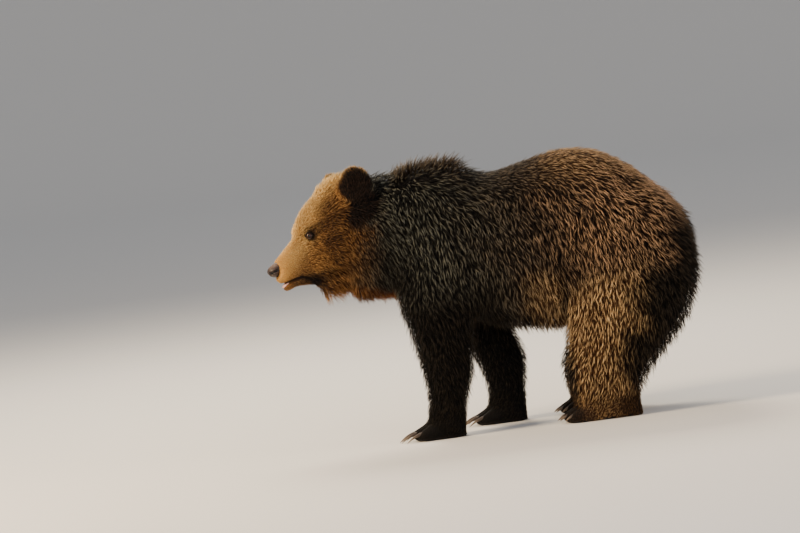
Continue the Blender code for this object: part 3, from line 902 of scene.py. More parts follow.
        # pale fur, partly painted sunlight: the forehead, the muzzle's bridge and the crown's top
        pale = (mask["forehead"] * 0.85 * (1 - 0.85 * eye_marks_and_shade)
                + mask["muzzle"] * smooth(-0.10, -0.03, w + 0.3 * u) * 0.20 * (1 - eye_marks_and_shade)
                + mask["head"] * smooth(0.09, 0.13, w) * 0.55)
        cream = np.clip(pale, 0, 1) * (1 - 0.8 * ear_dark_and_shade) * smooth(-0.24, -0.17, u)
        # the dark lip along the mouth's line, widening into painted shade at its corner
        mouth = mask["face"] * lips * smooth(0.005, 0.03, u) * smooth(-0.157, -0.147, w) * 0.95
        # painted shade under the jowl
        jowl = 0.5 * mask["head"] * spot(u - 0.028, 0.034, w + 0.156, 0.020)
        return {
            "rust": np.clip(rust, 0, 1),
            # the ears' rims take painted rim light in tawny and cream
            "tawny": tawny + 0.8 * ear_rim_light,
            "dusky": dusky + 0.20 * mask["crest"] + 0.5 * mask["hind"] * smooth(0.17, 0.04, z),
            # cream: pale fur, partly painted sunlight, and painted rim light on the ears' rims
            "cream": cream + ear_rim_light * 0.55,
            # ink: the ears' dark fur and the painted shadow under them, the dark lip line, and painted shade
            # on the lids, at the mouth's corner and under the jowl
            "ink": np.clip(ear_dark_and_shade + mouth + 0.8 * mask["lids"]**1.5 + jowl, 0, 1),
        }

    def painted(self, shading: Shading, level: str) -> bpy.types.NodeSocket:
        """Lays the regions' colours at one level of the hair over one another.

        Args:
            shading: the material in work.
            level: "root", "shaft" or "tip".

        Returns:
            The colour's socket.
        """
        colour: object = getattr(self.base, level)
        for name, tint in self.regions:
            colour = shading.blend(shading.value(name), colour, getattr(tint, level))
        return colour

    def hair(self) -> bpy.types.Material:
        """Guard hair: dull keratin, dark at the root and bleached towards the tip, with a soft broad gloss.

        Returns:
            The material.
        """
        shading = Shading("guard_hair")
        along, tone = shading.value("along"), shading.value("tone")
        share = shading.ramp(along, 0.05, 0.45)
        lower = shading.blend(share, self.painted(shading, "root"), self.painted(shading, "shaft"))
        reach = shading.maths("MULTIPLY", shading.ramp(along, 0.22, 0.70), tone, clamp=True)
        colour = shading.blend(reach, lower, self.painted(shading, "tip"))
        drift = shading.maths("MULTIPLY_ADD", shading.noise(45, 3), 0.7, 0.65)
        grey = shading.node("CombineColor", in_0=drift, in_1=drift, in_2=drift).outputs[0]
        colour = shading.blend(1.0, colour, grey, "MULTIPLY")
        return shading.finish(colour, 0.60, Specular_IOR_Level=0.14)

    def skin(self) -> bpy.types.Material:
        """Skin under the coat: the same markings, dark with underfur, in a 2 mm grain that looks hairy.

        Returns:
            The material, which turns to smoother black leather on the soles.
        """
        shading = Shading("skin_with_underfur")
        grain = shading.noise(1.8, 4, 0.7, (0.8, 1, 0.6))
        share = shading.ramp(grain, 0.35, 0.75)
        colour = shading.blend(share, self.painted(shading, "root"), self.painted(shading, "shaft"))
        leather = shading.value("leather")
        colour = shading.blend(leather, colour, "#17110f")
        shading.bump(grain, 0.8)
        roughness = shading.maths("MULTIPLY_ADD", leather, -0.3, 0.8)
        return shading.finish(colour, roughness, Specular_IOR_Level=0.15)


@dataclass(frozen=True)
class BareColours:
    """Finishes of the parts without hair: wet leather, horn, flesh and the eye."""

    def nose(self) -> bpy.types.Material:
        """Nose leather: moist dark brown skin in 1.6 mm pebbles, with a painted sheen that makes its top
        paler.

        Returns:
            The material, which is black inside the nostrils.
        """
        shading = Shading("nose_leather")
        cells = shading.pebbles(1.6)
        tint = shading.blend(shading.noise(9, 3), "#120b09", "#3b2822")
        # painted highlight: the pad's top paler, as a sheen of the sky on it
        tint = shading.blend(shading.maths("MULTIPLY", shading.value("painted_top_sheen"), 0.45), tint, "#7a6355")
        # painted shade: near black inside the nostrils and their slits
        tint = shading.blend(shading.value("nostril_shade"), tint, "#030202")
        shading.bump(cells, 0.35)
        return shading.finish(tint, shading.maths("MULTIPLY_ADD", cells, 0.3, 0.30), Specular_IOR_Level=0.4)

    def lid(self) -> bpy.types.Material:
        """Bare rim of the eyelids: dark oily skin with fine wrinkles.

        Returns:
            The material.
        """
        shading = Shading("eyelid_skin")
        wrinkles = shading.noise(1.8, 4, 0.6)
        shading.bump(wrinkles, 0.4)
        return shading.finish(shading.blend(wrinkles, "#080504", "#1c110b"), 0.55, Specular_IOR_Level=0.2)

    def tongue(self) -> bpy.types.Material:
        """Tongue: wet pink flesh with papillae about a millimetre apart.

        Returns:
            The material.
        """
        shading = Shading("tongue_flesh")
        shading.bump(shading.pebbles(1.2), 0.3)
        flesh = shading.blend(shading.noise(6, 2), "#b8857c", "#dcb3a8")
        return shading.finish(flesh, 0.3, Subsurface_Weight=0.1)

    def claw(self) -> bpy.types.Material:
        """Claw horn: dark brown keratin, streaked lengthwise, paler and worn towards the tip.

        Returns:
            The material.
        """
        shading = Shading("claw_horn")
        streaks = shading.noise(3, 3, 0.6, (0.15, 1, 1))
        colour = shading.blend(streaks, "#1a1310", "#4b3a2c")
        colour = shading.blend(shading.ramp(shading.value("along"), 0.4, 1.0), colour, "#7b6650")
        shading.bump(streaks, 0.2)
        return shading.finish(colour, 0.38)

    def eye(self) -> bpy.types.Material:
        """Eyeball under a clear cornea: black pupil, brown iris with radial fibres, and a dark ring round it.

        Low down at the iris's edge it is painted pale: a crescent of painted light, where the cornea gathers
        light onto the eye.

        Returns:
            The material.
        """
        shading = Shading("eyeball")
        radius, turn = shading.value("off_axis"), shading.value("turn")
        place = shading.node("CombineXYZ", X=turn, Y=radius).outputs[0]
        fibre = shading.node("TexNoise", {"noise_dimensions": "2D"}, Vector=place, Scale=9.0, Detail=3.0)
        iris = shading.blend(fibre.outputs["Fac"], "#241009", "#552f18")
        colour = shading.blend(shading.ramp(radius, 0.32, 0.37), "#020202", iris)
        colour = shading.blend(shading.ramp(radius, 0.56, 0.66), colour, "#140b07")
        # painted light: a pale crescent low on the eye
        colour = shading.blend(shading.maths("MULTIPLY", shading.value("lit_crescent"), 0.75), colour, "#b59c92")
        cornea = {"Coat_Weight": 1.0, "Coat_Roughness": 0.02, "Coat_IOR": 1.376}
        return shading.finish(colour, 0.6, Specular_IOR_Level=0.0, **cornea)


@dataclass(frozen=True)
class StudioFinish:
    """Seamless paper behind and under the bear."""

    paper: str = "#e4e1dc"

    def material(self) -> bpy.types.Material:
        """Matt pale paper with a faint tooth.

        Returns:
            The material.
        """
        shading = Shading("studio_paper")
        shading.bump(shading.noise(2.0, 2), 0.1)
        return shading.finish(self.paper, 0.9, Specular_IOR_Level=0.2)


# ---------------------------------------------------------------- how the coat grows
@dataclass(frozen=True)
class CoatGrowth:
    """Length, thickness, spacing and lie of the hair all over the bear. Its fields are in millimetres."""

    anatomy: Anatomy
    body_length: float = 51.0
    body_lift: float = 35.0         # degrees
    stand_share: float = 0.56       # how high a hair's tip stands over the skin, as a share of its length
    lengths: tuple[float, ...] = (3.0, 7.0, 15.0, 25.0, 46.0, 66.0)
    spacings: tuple[float, ...] = (2.07, 2.47, 3.18, 4.40, 6.70, 7.65)      # between locks of those lengths
    widths: tuple[float, ...] = (0.85, 1.0, 1.05, 1.25, 1.65, 2.1)          # of hairs of those lengths

    def length(self, points: Array) -> Array:
        """How long the hair is: longest on the chin's tuft and the hump, shortest by the nose and on toes.

        Args:
            points: rows of x, y, z.

        Returns:
            Lengths in metres.
        """
        z = points[:, 2]
        mask = self.anatomy.masks(points)
        u = self.anatomy.head.local(points)[:, 0]
        upper = by_region(mask, self.body_length, {
            "neck": 44.0, "crest": 60.0, "belly": 52.0, "fore": 38.0, "hind": 42.0})
        body = mixed(upper, (smooth(0.34, 0.14, z), 31.0), (mask["hind"] * smooth(0.34, 0.20, z), 38.0),
                     (mask["elbow"] * 0.8, 52.0), (mask["haunch"], 50.0),
                     (mask["paw"] * smooth(0.15, 0.06, z), 13.0), (mask["toes"], 5.5))
        return by_region(mask, body, {
            "head": 30.0, "face": 15.0, "cheek": 25.0, "beard": 24.0 + 20.0 * smooth(0.01, -0.03, u),
            "jaw": 11.0, "tuft": 72.0, "muzzle": 7.0, "nose_end": 3.5, "lids": 7.0, "crown": 24.0, "ear": 16.0,
            "back": 36.0}) * MM

    def depth(self, points: Array) -> Array:
        """How far the skin lies inside the solids: what the standing hair covers.

        Args:
            points: rows of x, y, z.

        Returns:
            Depths in metres, 0 on the soles.
        """
        mask = self.anatomy.masks(points)
        u = self.anatomy.head.local(points)[:, 0]
        sole = smooth(0.014, 0.004, points[:, 2])
        front = mask["crest"] * smooth(-0.05, -0.14, points[:, 0])
        pocket = bell(u + 0.070, 0.028)     # the skin stays out between the chin's tuft and the throat
        beard = 0.28 + 0.42 * smooth(0.02, -0.03, u) * (1 - 0.75 * pocket)
        share = mixed(np.full(len(points), self.stand_share), (front, 0.88), (mask["beard"], beard),
                      (mask["crown"], 0.25), (mask["ankle"], 0.15), (mask["toes"], 0.40))
        depth = mixed(self.length(points) * share, (mask["ear"], 4.0 * MM))
        return np.maximum(depth, 1.5 * MM) * (1 - sole)

    def spacing(self, points: Array) -> Array:
        """How far apart neighbouring locks are, by the hair's length and by region.

        Args:
            points: rows of x, y, z.

        Returns:
            Distances between the locks' middles, in metres.
        """
        mask = self.anatomy.masks(points)
        wide = 1 + 0.10 * smooth(0.44, 0.38, points[:, 2]) + 0.22 * mask["inner"]
        wide = wide * (1 - 0.22 * mask["beard"]) * (1 - 0.10 * mask["haunch"])
        lengths, spacings = np.array(self.lengths) * MM, np.array(self.spacings) * MM
        return np.interp(self.length(points), lengths, spacings) * wide

    def width(self, points: Array) -> Array:
        """How wide a hair is where it is widest, by its length, in metres."""
        return np.interp(self.length(points), np.array(self.lengths) * MM, np.array(self.widths) * MM)

    def lift(self, points: Array) -> Array:
        """How steeply the hair rises: most on the hump, least on the muzzle.

        Args:
            points: rows of x, y, z.

        Returns:
            Angles between hair and skin at the root, in radians.
        """
        mask = self.anatomy.masks(points)
        return np.radians(by_region(mask, self.body_lift, {
            "neck": 44.0, "crest": 72.0, "belly": 50.0, "throat": 48.0, "fore": 36.0, "hind": 38.0,
            "haunch": 49.0, "head": 34.0, "face": 24.0, "beard": 48.0, "muzzle": 18.0, "paw": 22.0,
            "crown": 40.0, "ear": 27.0, "back": 27.0}))

    def flow(self, points: Array, normals: Array) -> Array:
        """Which way the hair lies, as unit rows along the skin.

        On the back it runs to the tail and parts to the sides, on the flanks and legs it runs down, on the
        head it runs from the nose backward, and on the ears outward from their middles.

        Args:
            points: rows of x, y, z on the skin.
            normals: the skin's unit normals there.

        Returns:
            Unit rows at right angles to the normals.
        """
        x, y, z = points.T
        head = self.anatomy.head
        u, v, w = head.local(points).T
        side, cheek_side = np.sign(y), 0.3 * np.sign(v)
        mask = self.anatomy.masks(points)
        top = smooth(0.35, 0.85, normals[:, 2]) * smooth(0.60, 0.70, z)
        swept = 0.28 + 0.25 * smooth(0.45, 0.62, x) + 0.6 * smooth(0.64, 0.80, z) * smooth(0.1, 0.4, x)
        flank = rows_of(swept, 0.0, -1.0)
        back = rows_of(1.0, 0.55 * side * smooth(0.0, 0.05, np.abs(y)), -0.35)
        paw = rows_of(-1.0, 0.0, -0.25 - 1.2 * smooth(0.9, 0.4, normals[:, 2]))
        neck = rows_of(0.45, 0.1 * side, -0.90)
        cheek = smooth(0.0, -0.10, w) * smooth(0.04, -0.04, u)
        parting = 0.5 * np.sign(v) * smooth(0, 0.05, np.abs(v))
        face_run = rows_of(-1.0, parting, 0.10 - 0.35 * smooth(0.02, -0.08, w))
        head_run = mixed(head.turned(face_run), (cheek, head.turned(rows_of(-0.75, cheek_side, -0.65))),
                         (mask["ruff"], head.turned(rows_of(-0.35, cheek_side, -0.95))))
        run = mixed(flank, (top, back), (mask["neck"], neck), (mask["fore"], (0.10, 0.0, -1.0)),
                    (mask["hind"], (-0.16, 0.0, -1.0)), (mask["head"], head_run), (mask["paw"], paw))
        for one in Side:
            outward = points - self.anatomy.ear(one).world((-0.03, 0, -0.085))
            near = 1 - smooth(0.9, 1.1, self.anatomy.ear_reach(points, one))
            run = mixed(run, (near, unit(outward)))
        run = unit(run) + 0.26 * ripple(points, 0.11, 5) + 0.10 * ripple(points, 0.035, 6)
        return unit(run - normals * np.sum(run * normals, axis=1, keepdims=True))


# ---------------------------------------------------------------- the skin
NOSE_MIDDLE = (0.1385, 0.0, -0.0615)        # of the pad, on the head's axes
NOSE_RADII = (0.0238, 0.0262, 0.0232)       # forward, aside and up
NOSE_TILT = 0.30                            # how far the pad sinks for each metre forward
NOSE_LEAN = 0.42                            # how far its face comes forward for each metre up
FLESH = ("head", "jaw", "ear_left", "ear_right", "neck", "trunk", "tail", "shoulder_left", "shoulder_right",
         "forearm_left", "forearm_right", "thigh_left", "thigh_right", "shank_left", "shank_right",
         "forepaw_left", "forepaw_right", "hind_paw_left", "hind_paw_right")


@dataclass
class Skin:
    """One skin over all the flesh, inside the solids by the coat's depth."""

    anatomy: Anatomy
    growth: CoatGrowth
    colours: CoatColours
    first_voxel: float = 7.0 * MM
    voxel: float = 8.0 * MM
    sink_steps: int = 4

    def build(self) -> bpy.types.Object:
        """Draws the skin from the solids, sinks it, shapes the face, unwraps it and paints its markings.

        Returns:
            The skin's object.
        """
        piece = self.joined_solids()
        voxel_skin(piece, self.first_voxel)
        self.sink(piece)
        voxel_skin(piece, self.voxel)
        self.refine_face(piece)
        self.shape_face(piece)
        self.unwrap(piece)
        self.dress(piece)
        return piece

    def joined_solids(self) -> bpy.types.Object:
        """Puts all flesh solids and the toes in one object, welded, as separate shells.

        Returns:
            The object.
        """
        data = bpy.data.meshes.new("skin")
        with opened(data) as work:
            for name in FLESH:
                work.from_mesh(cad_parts[name].data)
            for paw in PAWS:
                for tip in paw.tips:
                    place = Matrix.Translation(Vector(tip)) @ Matrix.Diagonal((*paw.radii, 1))
                    bmesh.ops.create_uvsphere(work, u_segments=16, v_segments=10, radius=1, matrix=place)
            bmesh.ops.remove_doubles(work, verts=work.verts, dist=1e-5)
        piece = bpy.data.objects.new("skin", data)
        bpy.context.scene.collection.objects.link(piece)
        return piece

    def sink(self, piece: bpy.types.Object) -> None:
        """Smooths the facets away and moves the skin inward by the coat's depth, in equal steps.

        Args:
            piece: the skin.
        """
        edges = edges_of(piece.data)
        points, _ = read_points(piece.data)
        mask = self.anatomy.masks(points)
        calm = 0.5 * (1 - 0.75 * mask["face"]) * (1 - 0.85 * mask["ear"])
        calm = calm * (1 - 0.7 * mask["paw"]) * (1 - 0.7 * mask["toes"])
        points = relaxed(points, edges, calm, 12)
        depth = self.growth.depth(points)
        for _ in range(self.sink_steps):
            write_points(piece.data, points)
            _, normals = read_points(piece.data)
            points = relaxed(points - normals * depth[:, None] / self.sink_steps, edges, calm * 0.5, 1)
        write_points(piece.data, points)

    def refine_face(self, piece: bpy.types.Object) -> None:
        """Splits the face's quads in four, the muzzle's again, and those of the eyes and toes a third time.

        Args:
            piece: the skin.
        """
        eyes = [self.anatomy.eye(side).origin for side in Side]
        head = self.anatomy.head

        def eye_distance(points: Array) -> Array:
            """How far points are from the nearer eye."""
            return np.min([np.linalg.norm(points - e, axis=1) for e in eyes], axis=0)

        def on_head(points: Array, along: float) -> Array:
            """Whether points are on the head and this far along its gaze."""
            return (head.local(points)[:, 0] > along) & (self.anatomy.masks(points)["head"] > 0.5)

        for around in (lambda p: on_head(p, -0.05), lambda p: on_head(p, 0.06) | (eye_distance(p) < 0.034),
                       lambda p: (eye_distance(p) < 0.026) | (self.anatomy.masks(p)["toes"] > 0.4)):
            points, _ = read_points(piece.data)
            chosen = around(points)
            with opened(piece.data) as work:
                inside = [e for e in work.edges if chosen[e.verts[0].index] and chosen[e.verts[1].index]]
                bmesh.ops.subdivide_edges(work, edges=inside, cuts=1, use_grid_fill=True)
                bmesh.ops.triangulate(work, faces=[f for f in work.faces if len(f.verts) > 4])
        points, _ = read_points(piece.data)
        weight = 0.5 * self.anatomy.masks(points)["face"]
        write_points(piece.data, relaxed(points, edges_of(piece.data), weight, 3))

    def shape_face(self, piece: bpy.types.Object) -> None:
        """Draws the mouth and muzzle into the skin, fits it to the nose and the eyes, and parts the toes.

        Args:
            piece: the skin.
        """
        points, normals = read_points(piece.data)
        mask = self.anatomy.masks(points)
        points = self.fold(points, normals, mask)
        points = self.lift_lips(points, mask)
        points = self.fit_nose(points, mask["head"])
        for side in Side:
            points = self.seat_eye(points, self.anatomy.eye(side))
        cleft = np.max([paw.clefts(points) for paw in PAWS], axis=0) * smooth(0.004, 0.012, points[:, 2])
        points = points - normals * (8.0 * MM * cleft)[:, None]
        points[:, 2] = np.maximum(points[:, 2], 0.0003)
        write_points(piece.data, points)

    def fold(self, points: Array, normals: Array, mask: dict[str, Array]) -> Array:
        """Draws brow, tear line, mouth line, philtrum, bridge and chin into the head.

        Most are grooves and ridges whose depth falls off as a bell curve from their middle lines.

        Args:
            points: rows of x, y, z on the skin.
            normals: the skin's normals there.
            mask: the regions' shares.

        Returns:
            The moved points.
        """
        head, on_head = self.anatomy.head, mask["head"]
        u, v, w = head.local(points).T
        aside = np.abs(v)
        lip = np.interp(u, *LIP_LINE)
        groove = 4.0 * MM * bell(w - lip, 0.0045) * smooth(0.005, 0.03, u) * smooth(0.12, 0.09, u)
        upper_lip = 2.2 * MM * bell(w - lip - 0.011, 0.008) * smooth(0.0, 0.04, u)
        philtrum = 1.5 * MM * bell(v, 0.003) * smooth(0.13, 0.14, u)
        brow = 3.0 * MM * spot(u + 0.002, 0.022, w - 0.024, 0.010) * smooth(0.02, 0.035, aside)
        tear = 2.2 * MM * bell(over_tear_line(u, w), 0.006) * smooth(0.016, 0.024, u)
        tear = tear * smooth(0.075, 0.050, u) * smooth(0.02, 0.035, aside)
        out = (upper_lip + brow - groove - philtrum - tear) * on_head
        points = points + normals * out[:, None]
        bridge = np.interp(u, [0.04, 0.055, 0.075, 0.105, 0.12, 0.135, 0.15],
                           [0, 4.0, 3.5, 1.8, 2.5, 4.5, 5.5]) * MM
        ridge = smooth(0.030, 0.010, np.interp(u, [0.04, 0.15], [0.012, -0.046]) - w) * on_head
        points = points + (bridge * ridge)[:, None] * head.up
        gap_middle = np.interp(u, [0.085, 0.11, 0.15], [-0.109, -0.113, -0.1190])
        gap_height = np.interp(u, [0.085, 0.105, 0.15], [0.002, 0.005, 0.0095])
        slot = smooth(1.2, 0.7, np.abs(w - gap_middle) / gap_height) * smooth(0.090, 0.108, u) * on_head
        points = points - normals * (9 * MM * slot)[:, None]
        chin = np.exp(-((u - 0.122) ** 2 + v**2 * 0.6 + (w + 0.130) ** 2) / 0.017**2)[:, None]
        jowl = spot(u - 0.048, 0.032, w + 0.148, 0.020)[:, None]
        return points + chin * head.turned((0.007, 0, -0.004)) + jowl * head.turned((0, 0, -0.013))

    def lift_lips(self, points: Array, mask: dict[str, Array]) -> Array:
        """Lifts what hangs below the jowl's edge, and sets the upper lip back under the nose.

        Args:
            points: rows of x, y, z on the skin.
            mask: the regions' shares.

        Returns:
            The moved points.
        """
        head = self.anatomy.head
        u, _, w = head.local(points).T
        lowest = np.interp(u, [-0.020, 0.012, 0.030, 0.055, 0.075], [-0.250, -0.168, -0.157, -0.143, -0.250])
        lobe = np.maximum(lowest - w, 0) * smooth(0.4, 0.6, mask["head"]) * smooth(0.075, 0.060, u)
        front_lip = 6.0 * MM * bell(w + 0.099, 0.012) * smooth(0.118, 0.140, u) * mask["head"]
        return points + lobe[:, None] * head.up - front_lip[:, None] * head.turned((1.0, 0, 0))

    def fit_nose(self, points: Array, on_head: Array) -> Array:
        """Keeps the skin inside the nose's pad: behind its front, and within its outline at its back.

        Args:
            points: rows of x, y, z on the skin.
            on_head: how much each point belongs to the head.

        Returns:
            The moved points.
        """
        head, middle = self.anatomy.head, np.array(NOSE_MIDDLE)
        front, aside, up = NOSE_RADII
        u, _, w = head.local(points).T
        local = head.local(points) - middle
        local[:, 2] += NOSE_TILT * local[:, 0]
        across = np.hypot(local[:, 1] / aside, local[:, 2] / up)
        reach = front * np.sqrt(np.clip(1 - across**2, 0.0, 1.0)) + NOSE_LEAN * local[:, 2] - 2.5 * MM
        local[:, 0] -= np.maximum(local[:, 0] - np.maximum(reach, 0.0), 0.0) * smooth(1.05, 0.95, across)
        room = np.clip(1 - np.maximum(local[:, 0] / front, 0.0) ** 2, 0.0, 1.0) ** 0.5
        wanted = np.minimum(across, np.maximum(room - 0.08, 0.15)) / np.maximum(across, 1e-6)
        under_pad = smooth(-0.008, 0.002, u - pad_edge(w)) * smooth(-0.026, -0.020, local[:, 2]) * on_head
        local[:, 1:] *= (1 + under_pad * (wanted - 1))[:, None]
        local[:, 2] -= NOSE_TILT * local[:, 0]
        return np.where((on_head > 0.5)[:, None], head.world(local + middle), points)

    def seat_eye(self, points: Array, eye: Axes) -> Array:
        """Moves the skin near an eye out to a shell round the ball, and in the opening back behind it.

        Args:
            points: rows of x, y, z on the skin.
            eye: the eye's axes.

        Returns:
            The moved points.
        """
        local = eye.local(points)
        apart = np.linalg.norm(local, axis=1)
        opening = np.hypot(local[:, 1] / 0.0134, local[:, 2] / 0.0108)
        hole = smooth(1.25, 0.85, opening) * (local[:, 0] > -0.004)
        ring = smooth(0.026, 0.013, apart) * (1 - hole)
        wanted = np.maximum(apart, self.anatomy.eye_radius + 1.2 * MM)
        local = local * (1 + ring * (wanted / np.maximum(apart, 1e-6) - 1))[:, None]
        deep = np.minimum(local[:, 0], -0.004)
        local[:, 0] += hole * (deep - local[:, 0]) * (apart < 0.03)
        return np.where((apart < 0.03)[:, None], eye.world(local), points)

    def unwrap(self, piece: bpy.types.Object) -> None:
        """Unwraps the skin's own shape into islands that don't overlap, as the map OFBake.

        Args:
            piece: the skin.
        """
        bpy.context.view_layer.objects.active = piece
        piece.select_set(True)
        bpy.ops.object.mode_set(mode="EDIT")
        bpy.ops.mesh.select_all(action="SELECT")
        bpy.ops.uv.smart_project(angle_limit=math.radians(80), island_margin=0.001)
        bpy.ops.object.mode_set(mode="OBJECT")
        piece.select_set(False)
        piece.data.uv_layers[0].name = "OFBake"

    def dress(self, piece: bpy.types.Object) -> None:
        """Stores the markings on the skin and gives it its material.

        Args:
            piece: the skin.
        """
        points, normals = read_points(piece.data)
        for name, values in self.colours.weights(self.anatomy, points).items():
            attribute(piece, name, np.clip(values, 0, 1))
        leather = smooth(0.012, 0.004, points[:, 2]) * smooth(0.0, -0.6, normals[:, 2])
        attribute(piece, "leather", leather)
        piece.data.materials.clear()
        piece.data.materials.append(self.colours.skin())
        piece.data.shade_smooth()
        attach(piece, "root")
        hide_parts(*FLESH)


# ---------------------------------------------------------------- the coat
@dataclass
class Roots:
    """Where locks or hairs start: point, skin normal, and place on the skin's unwrap."""

    points: Array
    normals: Array
    uvs: Array

    def pick(self, chosen: Array) -> "Roots":
        """Some of the roots, by number or by mask."""
        return Roots(self.points[chosen], self.normals[chosen], self.uvs[chosen])


@dataclass
class Coat:
    """All the bear's fur, in regional pieces of pointed three-sided hairs that gather into locks."""

    anatomy: Anatomy
    growth: CoatGrowth
    colours: CoatColours
    skin: bpy.types.Object
    seed: int = 20
    density: float = 1.0            # of locks
    hairs_per_lock: int = 3
    short_hairs_per_lock: int = 4
    patch: float = 0.003            # size of a hair's place on the unwrap
    short: float = 13 * MM          # shorter hairs are straight pyramids, and longer ones bent spindles
    most_faces: int = 180_000       # in one piece
    fewest_locks: int = 20          # in one piece
    material: bpy.types.Material = field(init=False)
    slots: ClassVar[dict[str, str]] = {
        "face": "coat_golden", "head": "coat_golden", "foreleg": "coat_dark", "ear": "coat_dark",
        "neck": "coat_grizzled", "shoulder": "coat_grizzled"}

    def __post_init__(self) -> None:
        """Makes the one material that every coat piece shares, and the source of all random draws."""
        self.material = self.colours.hair()
        self.draw = np.random.default_rng(self.seed)

    def build(self) -> list[bpy.types.Object]:
        """Grows the coat all over and parts it into pieces by region.

        Returns:
            The pieces.
        """
        locks = self.scatter()
        length = self.growth.length(locks.points)
        made = []
        for name, chosen in self.regions(locks.points).items():
            for kind, short in (("short", True), ("long", False)):
                some = chosen & ((length < self.short) == short)
                if some.sum() > self.fewest_locks:
                    made += self.grow(f"fur_{name}_{kind}", locks.pick(some), short)
        return made

    def regions(self, points: Array) -> dict[str, Array]:
        """Parts the coat by place, so that no piece has too many faces.

        Args:
            points: the locks' roots.

        Returns:
            A mask for each region's name; each root is in one region.
        """
        x, y, z = points.T
        mask = self.anatomy.masks(points)
        v = self.anatomy.head.local(points)[:, 1]
        left = np.where(np.where(mask["head"] > 0.5, v > 0, y < 0), "left", "right")
        name = np.select(
            [mask["ear"] > 0.5, mask["face"] > 0.4, mask["head"] > 0.5, (z < 0.40) & (x < 0.19), z < 0.40,
             x < -0.20, x < 0.05, x < 0.32],
            ["ear", "face", "head", "foreleg", "hind_leg", "neck", "shoulder", "flank"], "rump")
        full = np.char.add(np.char.add(name, "_"), left)
        return {str(one): full == one for one in np.unique(full)}

    def scatter(self) -> Roots:
        """Spreads the locks over the skin's triangles, closer together where the hair is short.

        The triangles' shares of locks, area over spacing squared, are summed in order, and the locks are
        dropped at even steps of that sum with a random shift, so that they spread evenly.

        Returns:
            The locks' roots.
        """
        data = self.skin.data
        data.calc_loop_triangles()
        count = len(data.loop_triangles)
        corners, loops = np.empty(count * 3, np.int32), np.empty(count * 3, np.int32)
        data.loop_triangles.foreach_get("vertices", corners)
        data.loop_triangles.foreach_get("loops", loops)
        corners, loops = corners.reshape(-1, 3), loops.reshape(-1, 3)
        uvs = np.empty(len(data.loops) * 2, np.float32)
        data.uv_layers["OFBake"].data.foreach_get("uv", uvs)
        uvs = uvs.reshape(-1, 2)
        points, normals = read_points(data)
        middles = points[corners].mean(axis=1)
        first, second, third = (points[corner] for corner in corners.T)
        spans = np.cross(second - first, third - first)
        area = np.linalg.norm(spans, axis=1) / 2
        bare = self.bare(middles, unit(spans))
        share = area / self.growth.spacing(middles) ** 2 * self.density * (1 - bare)
        total = share.sum()
        steps = (np.arange(int(total)) + self.draw.uniform(0, 1, int(total))) / int(total) * total
        which = np.minimum(np.searchsorted(np.cumsum(share), steps), count - 1)
        a, b = self.draw.uniform(0, 1, (2, len(which)))
        a, b = np.where(a + b > 1, 1 - a, a), np.where(a + b > 1, 1 - b, b)
        weights = rows_of(1 - a - b, a, b)[:, :, None]

        def inside(values: Array, numbers: Array) -> Array:
            """Values at the drawn places, from those at their triangles' corners."""
            return (values[numbers[which]] * weights).sum(1)

        return Roots(inside(points, corners), unit(inside(normals, corners)), inside(uvs, loops))

    def bare(self, points: Array, normals: Array) -> Array:
        """Where no hair grows: the soles, the nose, the lips' edges and the eyes' rims.

        Args:
            points: rows of x, y, z on the skin.
            normals: the skin's normals there.

        Returns:
            1 where it is bare and 0 elsewhere.
        """
        u, _, w = self.anatomy.head.local(points).T
        sole = (points[:, 2] < 0.012) & (normals[:, 2] < -0.4)
        nose = (u > pad_edge(w) - 0.002) & (w > -0.089)
        mouth = (u > 0.075) & (np.abs(w + 0.113) < 0.004 + 0.08 * (u - 0.075))
        eyes = np.zeros(len(points), bool)
        for side in Side:
            local = self.anatomy.eye(side).local(points)
            eyes |= (np.hypot(local[:, 1] / 0.0108, local[:, 2] / 0.0078) < 1) & (np.abs(local[:, 0]) < 0.03)
        return (sole | nose | mouth | eyes).astype(float)

    def grow(self, name: str, locks: Roots, short: bool) -> list[bpy.types.Object]:
        """Grows each lock's hairs and makes pieces of them.

        Args:
            name: the pieces' name.
            locks: the locks' roots.
            short: whether the hairs are straight pyramids.

        Returns:
            The pieces, each under the limit of faces.
        """
        each = self.short_hairs_per_lock if short else self.hairs_per_lock
        hairs = self.hairs(locks, each, short)
        parts = max(1, math.ceil(len(hairs.root) * hairs.faces_per_hair / self.most_faces))
        bounds = np.linspace(0, len(locks.points), parts + 1).astype(int) * each
        made = []
        for number, (start, end) in enumerate(zip(bounds, bounds[1:])):
            part = name if parts == 1 else f"{name}_{number + 1}"
            made.append(self.dress(hairs.part(slice(start, end)).piece(part, self.patch)))
        return made

    def lock_tone(self, points: Array, mask: dict[str, Array]) -> Array:
        """How far each lock's tips are bleached: by region, a fixed share of the locks is pale.

        Args:
            points: the locks' roots.
            mask: the regions' shares.

        Returns:
            An array from 0 to about 1.
        """
        count = len(points)
        share = mixed(np.full(count, 0.31), (smooth(0.05, 0.35, points[:, 0]), 0.41), (mask["head"], 0.42),
                      (mask["forehead"], 0.75), (mask["muzzle"], 0.72))
        pale = np.diff(np.floor(np.cumsum(share)), prepend=0) > 0
        bleached = self.draw.uniform(0.65, 1.0, count)
        dark = self.draw.uniform(0.0, 0.13, count) + 0.16 * mask["face"]
        return np.where(pale, bleached, dark)

    def droop(self, mask: dict[str, Array]) -> Array:
        """How the hair hangs by its weight, as rows that point down: most under the throat and belly.

        Args:
            mask: the regions' shares.

        Returns:
            Rows of x, y, z.
        """
        weight = by_region(mask, 0.22, {
            "head": 0.05, "ruff": 0.35, "beard": 0.7, "throat": 0.8, "belly": 0.9, "crest": 0.0})
        return np.array([0, 0, -1.0]) * weight[:, None]

